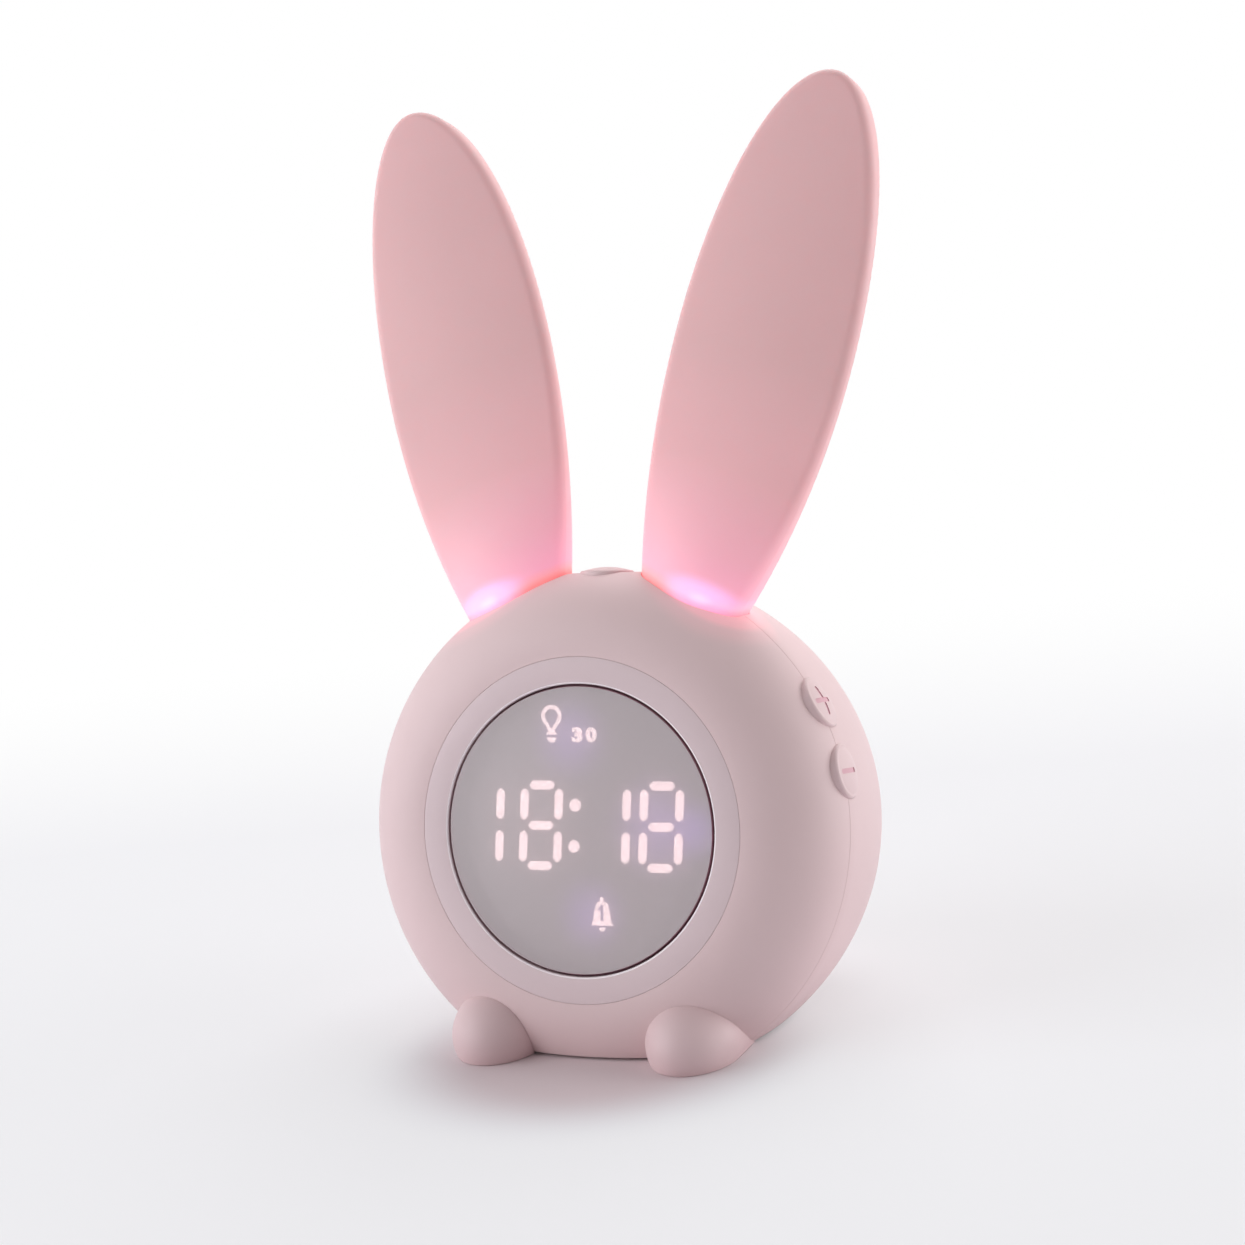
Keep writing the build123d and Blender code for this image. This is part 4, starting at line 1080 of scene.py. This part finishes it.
# ---------------------------------------------------------------- casing
@dataclass
class Casing:
    """The two casing shells with all their openings."""

    wall: float = 2.2
    seam: float = 3.0
    seam_gap: float = 0.05
    seam_chamfer: float = 0.08
    base_height: float = 0.5
    land_drop: float = 0.85
    rebate_radius: float = 33.14
    rebate_depth: float = 1.8
    ledge_radius: float = 30.9
    lip: float = 0.06
    well_radius: float = 2.7
    well_wall: float = 1.2
    well_seat: float = 6.0
    well_floor: float = 2.8
    screw_hole: float = 1.55
    screw_places: tuple = ((42.5, 47.0), (42.5, -47.0), (42.5, 128.0), (42.5, -128.0))
    grille_radius: float = 1.1
    grille_flare: float = 0.25
    grille_pitch: float = 3.9
    grille_rings: int = 3
    socket_drop: float = 23.0
    socket_size: tuple = (8.1, 3.2)
    socket_reach: float = 16.0
    pad_size: tuple = (26.24, 10.74)
    pad_corner: float = 3.0
    pad_height: float = 1.62
    pad_back: float = 38.5
    pad_length: float = 10.5
    opening_back: float = 6.0
    screw_low: float = -10.0
    cut_low: float = -70.0
    cut_front: float = 3.0
    cut_far: float = 80.0
    cut_side: float = 20.0
    cut_spread: float = 0.5

    def turned_form(self, inset: float, arc_steps: int = 44, steps: int = 216) -> bmesh.types.BMesh:
        """Closed turned form, moved in by an inset.

        Args:
            inset: How far the form is moved in.
            arc_steps: Steps of each quarter of the profile.
            steps: Steps of the full turn.

        Returns:
            The form's mesh, in the head frame.
        """
        front = SKIN.face_depth - inset
        back = SKIN.back_depth - inset
        side = SKIN.radius - inset
        wire = Wire().to(0, front)
        wire.arc((SKIN.face_radius, 0), (side - SKIN.face_radius, front), 90, -90, arc_steps)
        wire.arc((SKIN.back_radius, 0), (side - SKIN.back_radius, back), 0, -90, arc_steps)
        wire.to(0, -back)
        return turned(wire, steps)

    def form(self, inset: float, arc_steps: int = 44, steps: int = 216) -> bmesh.types.BMesh:
        """The turned form with its flat underside, both moved in by an inset."""
        mesh = self.turned_form(inset, arc_steps, steps)
        return flat_cut(mesh, HEAD.at_height(self.base_height + inset), HEAD.up())

    def hollow(self) -> bmesh.types.BMesh:
        """Skin of the casing with its wall, before it is parted."""
        skin = self.form(0)
        top = Vector((0, SKIN.radius - self.land_drop, 0))
        skin = flat_cut(skin, top, Vector((0, -1, 0)))
        return combine(skin, self.form(self.wall, 24, 120), Cut.DIFFERENCE)

    def display_opening(self) -> bmesh.types.BMesh:
        """Rebate for the ring, with a softened lip, and the opening behind it."""
        floor = SKIN.face_depth - self.rebate_depth
        lip = self.rebate_radius + self.lip
        back, front = self.opening_back, SKIN.face_depth + self.cut_front
        wire = Wire().to(0, back).to(self.ledge_radius, back).to(self.ledge_radius, floor)
        wire.to(self.rebate_radius, floor).to(self.rebate_radius, SKIN.face_depth - self.lip)
        wire.to(lip, SKIN.face_depth).to(lip, front).to(0, front)
        return turned(wire, 180)

    def far_side(self, way: int) -> bmesh.types.BMesh:
        """Tool that takes the casing's rear (-1) or front (1) away and softens the edge that is left."""
        share = math.sqrt(1 - (self.seam / SKIN.face_depth) ** 2)
        skin = SKIN.face_radius + (SKIN.radius - SKIN.face_radius) * share
        edge = self.seam - way * self.seam_gap / 2
        eased = edge - way * (self.seam_chamfer + self.cut_spread)
        side, far = SKIN.radius + self.cut_side, way * self.cut_far
        wire = Wire().to(0, edge).to(skin - self.seam_chamfer, edge).to(skin + self.cut_spread, eased)
        wire.to(side, eased).to(side, far).to(0, far)
        return turned(wire, 216)

    def grille(self) -> bmesh.types.BMesh:
        """Holes of the speaker grille in the flat back."""
        places = [(0.0, 0.0)]
        for ring in range(1, self.grille_rings + 1):
            for k in range(6 * ring):
                angle = math.radians(k * 60 / ring)
                reach = ring * self.grille_pitch
                places.append((reach * math.sin(angle), reach * math.cos(angle)))
        low = -SKIN.back_depth - self.grille_flare
        holes = []
        for x, y in places:
            hole = drum(self.grille_radius, low, -SKIN.back_depth + self.wall + 1, 24, 2 * self.grille_flare)
            holes.append(moved(hole, Matrix.Translation((x, y, 0))))
        return joined(holes)

    def well_places(self) -> list:
        """Middles of the four screw wells."""
        return [(d * math.sin(math.radians(a)), d * math.cos(math.radians(a))) for d, a in self.screw_places]

    def wells(self, radius: float, low: float, high: float) -> bmesh.types.BMesh:
        """One drum in each screw well."""
        return joined([
            moved(drum(radius, low, high, 32), Matrix.Translation((x, y, 0))) for x, y in self.well_places()
        ])

    def socket_opening(self) -> bmesh.types.BMesh:
        """Opening for the charging socket."""
        width, height = self.socket_size
        reach = self.socket_reach
        size = (width, height, reach)
        return block(size, (0, -self.socket_drop, -SKIN.back_depth + reach / 2 - 1), height / 2.6)

    def pad_recess(self) -> bmesh.types.BMesh:
        """Shallow recess for the rubber pad, in the head frame."""
        deep = 2 * self.pad_height
        middle = (0, self.pad_back - self.pad_length / 2, 0)
        return moved(block((*self.pad_size, deep), middle, self.pad_corner), TABLE_TO_HEAD)

    def build(self, bench: Bench, ears: Ears, buttons: Buttons) -> None:
        """Make the front and the rear shell.

        Args:
            bench: Where the pieces are made.
            ears: The ears, for their slots.
            buttons: The buttons, for their holes.
        """
        posts = self.wells(self.well_radius + self.well_wall, self.cut_low, -self.well_seat + self.well_floor)
        posts = combine(posts, self.form(self.wall / 2, 24, 120), Cut.INTERSECT)
        whole = combine(self.hollow(), posts, Cut.UNION)
        tools = (
            self.wells(self.well_radius, self.cut_low, -self.well_seat),
            self.wells(self.screw_hole, self.screw_low, 0),
            self.grille(), self.socket_opening(), self.pad_recess(), buttons.holes(), ears.slots(),
        )
        for tool in tools:
            whole = combine(whole, tool, Cut.DIFFERENCE)
        front = combine(whole.copy(), self.far_side(-1), Cut.DIFFERENCE)
        front = combine(front, self.display_opening(), Cut.DIFFERENCE)
        rear = combine(whole, self.far_side(1), Cut.DIFFERENCE)
        for name, shell in (("front", front), ("rear", rear)):
            node = name + "_casing"
            bench.piece(name + "_shell", shell, HEAD.matrix(), "casing_plastic", replaces=(node,), sharp=30)


# ---------------------------------------------------------------- display
@dataclass
class Display:
    """Ring, lens, film and lit figures."""

    ring_inner: float = 27.95
    ring_outer: float = 33.1
    ring_outer_edge: float = 0.06
    ring_thickness: float = 1.8
    ring_edge: float = 0.35
    skirt_outer: float = 30.7
    skirt_inner: float = 29.3
    skirt_depth: float = 5.4
    lens_radius: float = 27.5
    lens_recess: float = 0.2
    lens_edge: float = 0.22
    lens_flange: float = 29.1
    flange_front: float = 14.67
    flange_back: float = 13.17
    film_radius: float = 27.8
    film_thickness: float = 0.25
    window_thickness: float = 0.05
    digit_middle: float = 0.52
    upright_reach: float = 3.68
    upright_rise: float = 4.1
    upright_length: float = 6.0
    cross_rise: float = 7.8
    cross_length: float = 5.3
    bar_width: float = 1.72
    bar_taper: float = 0.46
    bar_profile: float = 0.34
    slant: float = 2.8
    cells: tuple = (-22.53, -9.99, 4.35, 15.29)
    figures: tuple = ("1", "8", "1", "8")
    colon_middle: float = -2.8
    colon_spread: float = 7.92
    colon_radius: float = 1.2
    bulb_place: tuple = (-7.39, 21.67)
    timer_cells: tuple = (("3", -3.12, -0.86), ("0", -0.13, 2.15))
    timer_low: float = 16.58
    timer_high: float = 19.49
    timer_size: float = 2.4
    timer_weight: float = 0.15
    bell_place: tuple = (2.7, -16.0)

    def ring(self) -> bmesh.types.BMesh:
        """Flat ring with softened edges and its skirt."""
        top, low = SKIN.face_depth, SKIN.face_depth - self.ring_thickness
        deep = top - self.skirt_depth
        e = self.ring_edge
        wire = Wire().arc((self.ring_inner + e, top - e), (e, e), 180, -90, 6)
        soft = self.ring_outer_edge
        wire.arc((self.ring_outer - soft, top - soft), (soft, soft), 90, -90, 3)
        wire.to(self.ring_outer, low).to(self.skirt_outer, low).to(self.skirt_outer, deep)
        wire.to(self.skirt_inner, deep).to(self.skirt_inner, low).to(self.ring_inner, low).close()
        ring = turned(wire, 216)
        # The faces of the inner rounded edge take the second finish, a painted highlight that stands for
        # light caught along that edge.
        for face in ring.faces:
            middle = face.calc_center_median()
            if middle.xy.length < self.ring_inner + e and middle.z > top - e:
                face.material_index = 1
        return ring

    def lens(self) -> bmesh.types.BMesh:
        """Lens with a softened front edge and its flange."""
        front = SKIN.face_depth - self.lens_recess
        e = self.lens_edge
        wire = Wire().to(0, front).arc((self.lens_radius - e, front - e), (e, e), 90, -90, 5)
        wire.to(self.lens_radius, self.flange_front).to(self.lens_flange, self.flange_front)
        wire.to(self.lens_flange, self.flange_back).to(0, self.flange_back)
        lens = turned(wire, 180)
        # The faces of the outer edge and flange take the second finish, dark edge paint that also stands for
        # the shade in the gap round the lens.
        for face in lens.faces:
            if face.calc_center_median().xy.length > self.lens_radius - e / 2:
                face.material_index = 1
        return lens

    def bar(self, length: float, turn: float, x: float, y: float) -> bmesh.types.BMesh:
        """One lit bar with tapered, rounded ends.

        Args:
            length: Length of the bar.
            turn: Turn of the bar in degrees, 0 lying along X.
            x: Middle of the bar, sideways.
            y: Middle of the bar, upwards.

        Returns:
            The bar's mesh.
        """
        mesh = bmesh.new()
        bmesh.ops.create_cube(mesh, size=1)
        bmesh.ops.scale(mesh, vec=(length, self.bar_width, self.window_thickness), verts=mesh.verts[:])
        half = self.window_thickness / 2
        upright = [e for e in mesh.edges if abs(e.verts[0].co.z - e.verts[1].co.z) > half]
        bmesh.ops.bevel(
            mesh, geom=upright, offset=self.bar_width * self.bar_taper, offset_type="OFFSET", segments=3,
            profile=self.bar_profile, affect="EDGES", material=-1, clamp_overlap=True,
        )
        place = Matrix.Translation((x, y, 0)) @ Matrix.Rotation(math.radians(turn), 4, "Z")
        return moved(mesh, place)

    def figure(self, middle: float, shown: str) -> list:
        """Lit bars of one figure."""
        reach, rise = self.upright_reach, self.upright_rise
        sides = (1,) if shown == "1" else (-1, 1)
        bars = [
            self.bar(self.upright_length, 90, middle + side * reach, self.digit_middle + k * rise)
            for side in sides for k in (-1, 1)
        ]
        if shown == "8":
            heights = [self.digit_middle + k * self.cross_rise for k in (-1, 0, 1)]
            bars += [self.bar(self.cross_length, 0, middle, height) for height in heights]
        return bars

    def slanted(self, meshes: list) -> bmesh.types.BMesh:
        """The figures, leaning a little to the right."""
        lean = Matrix.Shear("XZ", 4, (0, 0))
        lean[0][1] = math.tan(math.radians(self.slant))
        middle = Matrix.Translation((0, self.digit_middle, 0))
        return moved(joined(meshes), middle @ lean @ middle.inverted())

    def disc(self, radius: float, x: float, y: float, steps: int = 32) -> bmesh.types.BMesh:
        """Thin round window."""
        half = self.window_thickness / 2
        return moved(drum(radius, -half, half, steps), Matrix.Translation((x, y, 0)))

    def tapered(
        self, low_half: float, high_half: float, low: float, high: float, place: tuple,
    ) -> bmesh.types.BMesh:
        """Thin window whose width changes from its lower to its upper edge."""
        mesh = bmesh.new()
        bmesh.ops.create_cube(mesh, size=1)
        for vertex in mesh.verts:
            upper = vertex.co.y > 0
            half = high_half if upper else low_half
            vertex.co.x = math.copysign(half, vertex.co.x)
            vertex.co.y = high if upper else low
            vertex.co.z *= self.window_thickness
        return moved(mesh, Matrix.Translation((*place, 0)))

    def deep(self, mesh: bmesh.types.BMesh) -> bmesh.types.BMesh:
        """A flat shape made thick enough to cut a window."""
        bmesh.ops.scale(mesh, vec=(1, 1, 4), verts=mesh.verts[:])
        return mesh

    def bulb(self) -> bmesh.types.BMesh:
        """Outline of a light bulb over its cap."""
        place = self.bulb_place
        neck = self.tapered(0.62, 2.02, -2.9, -0.75, place)
        collar = self.tapered(1.25, 0.6, -3.6, -2.8, place)
        glass = union(self.disc(2.17, *place, 48), neck, collar)
        inside = union(self.disc(1.36, *place, 40), self.tapered(0.12, 1.24, -2.35, -0.55, place))
        outline = combine(glass, self.deep(inside), Cut.DIFFERENCE)
        return joined([outline, self.tapered(0.6, 1.08, -5.1, -4.12, place)])

    def bell(self) -> bmesh.types.BMesh:
        """Silhouette of a bell with the alarm's number cut out of it."""
        place = self.bell_place
        x, y = place
        waist = self.tapered(1.9, 1.46, -1.35, 0.8, place)
        brim = self.tapered(2.25, 1.82, -2.5, -1.3, place)
        knob = self.tapered(0.4, 0.36, 2.0, 2.95, place)
        shell = union(self.disc(1.47, x, y + 0.75, 40), waist, brim, knob)
        stem = self.tapered(0.33, 0.3, -1.6, 1.45, place)
        turn = Matrix.Translation((x - 0.36, y + 0.83, 0)) @ Matrix.Rotation(math.radians(-42), 4, "Z")
        flag = moved(self.tapered(0.24, 0.24, -0.62, 0.62, (0, 0)), turn)
        for figure in (stem, flag):
            shell = combine(shell, self.deep(figure), Cut.DIFFERENCE)
        return joined([shell, self.tapered(0.4, 0.7, -3.62, -2.88, place)])

    def glyph(self, shown: str, left: float, right: float) -> bmesh.types.BMesh:
        """One heavy figure of the sleep timer, fitted between two edges."""
        curve = bpy.data.curves.new("timer", "FONT")
        curve.body = shown
        curve.size = self.timer_size
        curve.offset = self.timer_weight
        curve.extrude = self.window_thickness / 2
        made = bpy.data.objects.new("timer", curve)
        bpy.context.scene.collection.objects.link(made)
        bpy.context.view_layer.update()
        data = bpy.data.meshes.new_from_object(made.evaluated_get(bpy.context.evaluated_depsgraph_get()))
        mesh = bmesh.new()
        mesh.from_mesh(data)
        bpy.data.meshes.remove(data)
        bpy.data.objects.remove(made)
        bpy.data.curves.remove(curve)
        spans = [(min(v.co[k] for v in mesh.verts), max(v.co[k] for v in mesh.verts)) for k in (0, 1)]
        wide = (right - left) / (spans[0][1] - spans[0][0])
        tall = (self.timer_high - self.timer_low) / (spans[1][1] - spans[1][0])
        bmesh.ops.translate(mesh, vec=(-spans[0][0], -spans[1][0], 0), verts=mesh.verts[:])
        bmesh.ops.scale(mesh, vec=(wide, tall, 1), verts=mesh.verts[:])
        bmesh.ops.translate(mesh, vec=(left, self.timer_low, 0), verts=mesh.verts[:])
        return tidy(mesh)

    def timer(self) -> bmesh.types.BMesh:
        """The minutes of the sleep timer."""
        return joined([self.glyph(*cell) for cell in self.timer_cells])

    def build(self, bench: Bench) -> None:
        """Make the whole display."""
        head = HEAD.matrix()
        plates = (
            # The ring's second finish is a painted highlight on its inner edge.
            ("ring_plate", self.ring(), "ring_plastic", "front_ring", "ring_lip_painted_highlight"),
            # The lens' second finish is dark edge paint that also stands for the shade in the gap round it.
            ("lens_plate", self.lens(), "smoked_lens", "display_lens", "lens_edge"),
        )
        for name, mesh, slot, node, edge in plates:
            bench.piece(name, mesh, head, slot, replaces=(node,), sharp=40, extra=(edge,))
        film = drum(self.film_radius, FILM_FRONT - self.film_thickness, FILM_FRONT, 128)
        bench.piece("mask_film", film, head, "white_film", replaces=("diffuser_film",))
        on_film = head @ Matrix.Translation((0, 0, FILM_FRONT + self.window_thickness / 2))
        bars = [bar for middle, shown in zip(self.cells, self.figures) for bar in self.figure(middle, shown)]
        for k in (-1, 1):
            height = self.digit_middle + k * self.colon_spread / 2
            bars.append(self.disc(self.colon_radius, self.colon_middle, height))
        lit = {"figures": self.slanted(bars), "bulb": self.bulb(), "bell": self.bell(), "timer": self.timer()}
        for name, mesh in lit.items():
            bench.piece("lit_" + name, mesh, on_film, "lamp_resin", paint="lit_window")


# ---------------------------------------------------------------- feet and pad
@dataclass
class Base:
    """The two egg-shaped feet and the rubber pad."""

    spread: float = 20.5
    forward: float = 17.1
    radius: float = 9.1
    axis_height: float = 3.5
    nose: float = 12.0
    tail: float = 24.0
    tail_radius: float = 7.8
    tail_round: float = 0.7
    gap: float = 0.05
    pad_size: tuple = (26.0, 10.5, 1.5)
    pad_back: float = 38.5
    pad_corner: float = 3.0
    pad_edge: float = 0.35

    def egg(self) -> bmesh.types.BMesh:
        """Egg with a short blunt tail, along Z from its nose at the top to its tail below."""
        run = self.radius - self.tail_radius
        bend = (run * run + self.tail * self.tail) / (2 * run)
        sweep = math.degrees(math.asin(self.tail / bend))
        soft = self.tail_round
        wire = Wire().arc((0, 0), (self.radius, self.nose), 90, -90, 28)
        wire.arc((self.radius - bend, 0), (bend, bend), 0, -sweep, 26)
        wire.arc((self.tail_radius - soft, -self.tail), (soft, soft), 0, -90, 4)
        wire.to(0, -self.tail - soft)
        return turned(wire, 96)

    def foot(self, casing: Casing, side: Side) -> bmesh.types.BMesh:
        """One foot, cut flat underneath and shaped to the casing, in the table's frame."""
        lay = Matrix.Rotation(math.radians(90), 4, "X")
        place = Matrix.Translation((self.spread, -self.forward, self.axis_height)) @ lay
        egg = moved(self.egg(), Matrix.Scale(side.value, 4, (1, 0, 0)) @ place)
        egg = flat_cut(egg, Vector((0, 0, 0)), Vector((0, 0, 1)))
        body = moved(casing.turned_form(-self.gap, 32, 160), TABLE_TO_HEAD.inverted())
        return combine(egg, body, Cut.DIFFERENCE)

    def build(self, bench: Bench, casing: Casing) -> None:
        """Make the feet, which fit the casing, and the pad."""
        for side in Side:
            name = side.name.lower() + "_foot"
            foot = self.foot(casing, side)
            bench.piece(name + "_egg", foot, TABLE_MATRIX, "foot_plastic", replaces=(name,))
        length = self.pad_size[1]
        middle = (0, self.pad_back - length / 2, self.pad_size[2] / 2)
        pad = block(self.pad_size, middle, self.pad_corner, self.pad_edge)
        bench.piece("rubber_pad", pad, TABLE_MATRIX, "pad_rubber", replaces=("base_pad",))


@dataclass
class Speaker:
    """Dust cloth behind the grille."""

    radius: float = 16.0
    low: float = -50.2
    thickness: float = 0.3

    def build(self, bench: Bench) -> None:
        """Make the cloth."""
        cloth = drum(self.radius, self.low, self.low + self.thickness, 96)
        bench.piece("dust_cloth", cloth, HEAD.matrix(), "speaker_cloth", replaces=("speaker_cloth",))


def dress_nodes(finishes: FinishBook) -> None:
    """Give every CAD node that stays its slot's finish."""
    slots = {row["node"]: row["material_slot"] for row in frame["record"]["subparts"]}
    for name, node in frame["nodes"].items():
        node.data.materials.clear()
        node.data.materials.append(finishes.get(slots[name]))
        LOG.info("%s: dressed as %s", name, slots[name])


# ---------------------------------------------------------------- studio
@dataclass
class Studio:
    """Pale floor, soft lamps, plain world and the camera."""

    camera_place: tuple = (216.225, -477.7153, 170.9757)
    camera_right: tuple = (0.91332212, 0.39605725, -0.09477002)
    camera_up: tuple = (0.01593708, 0.1977747, 0.98011794)
    camera_back: tuple = (0.40692593, -0.89667376, 0.17432001)
    focal_pixels: float = 2682.6
    picture: float = 1245.0
    sensor: float = 36.0
    fill: float = 0.24
    floor_half: float = 6.0
    floor_colour: tuple = srgb(236, 235, 240)
    shade_colour: tuple = srgb(223, 208, 211)
    shade_reach: float = 0.042
    shade_middle: tuple = (0, -0.034, 0)
    floor_drop: float = 0.0001
    behind_way: tuple = (-0.41, 0.91, 0)
    behind_span: tuple = (-0.05, 0.42)
    near_span: tuple = (0.022, 0.048, 0.45)
    far_span: tuple = (0.2, 0.9)
    aim: tuple = (0, 0, 0.09)
    lamps: tuple = (
        ("left_box", (-0.95, 0.0, 0.4), (0.9, 0.9), 1.8, (1, 1, 1)),
        ("left_front_box", (-0.75, -0.6, 0.4), (0.9, 0.9), 6.7, (0.95, 0.97, 1.0)),
        ("right_low_box", (0.85, 0.4, 0.08), (0.9, 0.1), 2.2, (1, 1, 1)),
        ("right_back_box", (0.8, 0.55, 0.35), (0.9, 0.9), 2.0, (1, 1, 1)),
        ("right_box", (0.95, 0.1, 0.45), (0.9, 0.9), 2.3, (1, 1, 1)),
        ("back_top_box", (0.0, 0.6, 0.95), (0.9, 0.9), 6.2, (1, 1, 1)),
    )

    def camera(self) -> None:
        """Make the camera."""
        data = bpy.data.cameras.new("camera")
        data.sensor_fit = "HORIZONTAL"
        data.sensor_width = self.sensor
        data.lens = self.focal_pixels * self.sensor / self.picture
        data.clip_start = 0.05
        data.clip_end = 50
        made = bpy.data.objects.new("camera", data)
        bpy.context.scene.collection.objects.link(made)
        turn = Matrix((self.camera_right, self.camera_up, self.camera_back)).transposed().to_4x4()
        made.matrix_world = Matrix.Translation(Vector(self.camera_place) * MM) @ turn
        bpy.context.scene.camera = made

    def lamp(self, name: str, place: tuple, size: tuple, power: float, colour: tuple) -> None:
        """Make one soft box that looks at the clock.

        Args:
            name: Name of the lamp.
            place: Where it stands, in metres.
            size: Its width and height.
            power: Its power in watts.
            colour: Its colour.
        """
        data = bpy.data.lights.new(name, "AREA")
        data.shape = "RECTANGLE"
        data.size, data.size_y = size
        data.energy = power
        data.color = colour
        made = bpy.data.objects.new(name, data)
        bpy.context.scene.collection.objects.link(made)
        made.location = place
        made.rotation_mode = "QUATERNION"
        made.rotation_quaternion = (Vector(self.aim) - Vector(place)).to_track_quat("-Z", "Y")

    def world(self) -> None:
        """Faint grey light, with white where it is seen straight, in gloss or through glass."""
        world = bpy.data.worlds.new("studio")
        bpy.context.scene.world = world
        world.use_nodes = True
        tree = world.node_tree
        tree.nodes.clear()
        rays = tree.nodes.new("ShaderNodeLightPath").outputs
        seen = rays["Is Camera Ray"]
        for ray in ("Is Glossy Ray", "Is Transmission Ray"):
            either = tree.nodes.new("ShaderNodeMath")
            either.operation = "MAXIMUM"
            tree.links.new(seen, either.inputs[0])
            tree.links.new(rays[ray], either.inputs[1])
            seen = either.outputs[0]
        light, white = (tree.nodes.new("ShaderNodeBackground") for _ in range(2))
        light.inputs["Strength"].default_value = self.fill
        white.inputs["Color"].default_value = (1, 1, 1, 1)
        mix = tree.nodes.new("ShaderNodeMixShader")
        for place, source in enumerate((seen, light.outputs[0], white.outputs[0])):
            tree.links.new(source, mix.inputs[place])
        out = tree.nodes.new("ShaderNodeOutputWorld")
        tree.links.new(mix.outputs[0], out.inputs["Surface"])

    def floor(self) -> None:
        """Pale floor with a painted pink shade round the clock, that fades to white away from it."""
        mesh = bmesh.new()
        bmesh.ops.create_grid(mesh, x_segments=8, y_segments=8, size=self.floor_half)
        bmesh.ops.translate(mesh, vec=(0, 0, -self.floor_drop), verts=mesh.verts[:])
        data = bpy.data.meshes.new("floor")
        mesh.to_mesh(data)
        mesh.free()
        made = bpy.data.objects.new("floor", data)
        bpy.context.scene.collection.objects.link(made)
        recipe = Recipe("floor")
        recipe.set(Roughness=0.9, Specular_IOR_Level=0.1)
        behind = recipe.vector("DOT_PRODUCT", recipe.coordinates, self.behind_way).outputs["Value"]
        gap = recipe.vector("SUBTRACT", recipe.coordinates, self.shade_middle).outputs["Vector"]
        away = recipe.vector("LENGTH", gap).outputs["Value"]
        # Painted shade: a darker pink base colour round the clock, standing for its shadow and the pink light
        # it throws back.
        painted_shade_stops = [(0.45, self.shade_colour), (1.0, self.floor_colour)]
        recipe.link(recipe.ramp(recipe.math("DIVIDE", away, self.shade_reach), painted_shade_stops, "EASE"), "Base Color")
        near, far = recipe.smooth(away, *self.near_span), recipe.smooth(away, *self.far_span)
        around = recipe.math("MAXIMUM", near, far)
        paler = recipe.math("MAXIMUM", recipe.smooth(behind, *self.behind_span), around)
        straight = recipe.tree.nodes.new("ShaderNodeLightPath").outputs["Is Camera Ray"]
        factor = recipe.math("MULTIPLY", paler, straight)
        glow = recipe.node("ShaderNodeEmission", Color=(1, 1, 1, 1), Strength=1.0)
        mix = recipe.tree.nodes.new("ShaderNodeMixShader")
        for place, source in enumerate((factor, recipe.shader.outputs[0], glow.outputs[0])):
            recipe.tree.links.new(source, mix.inputs[place])
        recipe.tree.links.new(mix.outputs[0], recipe.output.inputs["Surface"])
        data.materials.append(recipe.done())

    def build(self) -> None:
        """Make the studio."""
        bpy.context.scene.view_settings.view_transform = "Standard"
        self.camera()
        self.world()
        self.floor()
        for lamp in self.lamps:
            self.lamp(*lamp)


def main() -> None:
    """Build the clock and its studio."""
    logging.basicConfig(level=logging.INFO, format="%(message)s")
    finishes = FinishBook()
    bench = Bench(finishes)
    studio = Studio()
    studio.build()
    dress_nodes(finishes)
    ears, buttons, casing = Ears(), Buttons(), Casing()
    ears.build(bench)
    buttons.build(bench)
    casing.build(bench, ears, buttons)
    Display().build(bench)
    Base().build(bench, casing)
    Speaker().build(bench)
    LOG.info("%d pieces made", len(bench.pieces))


if __name__ == "__main__":
    main()
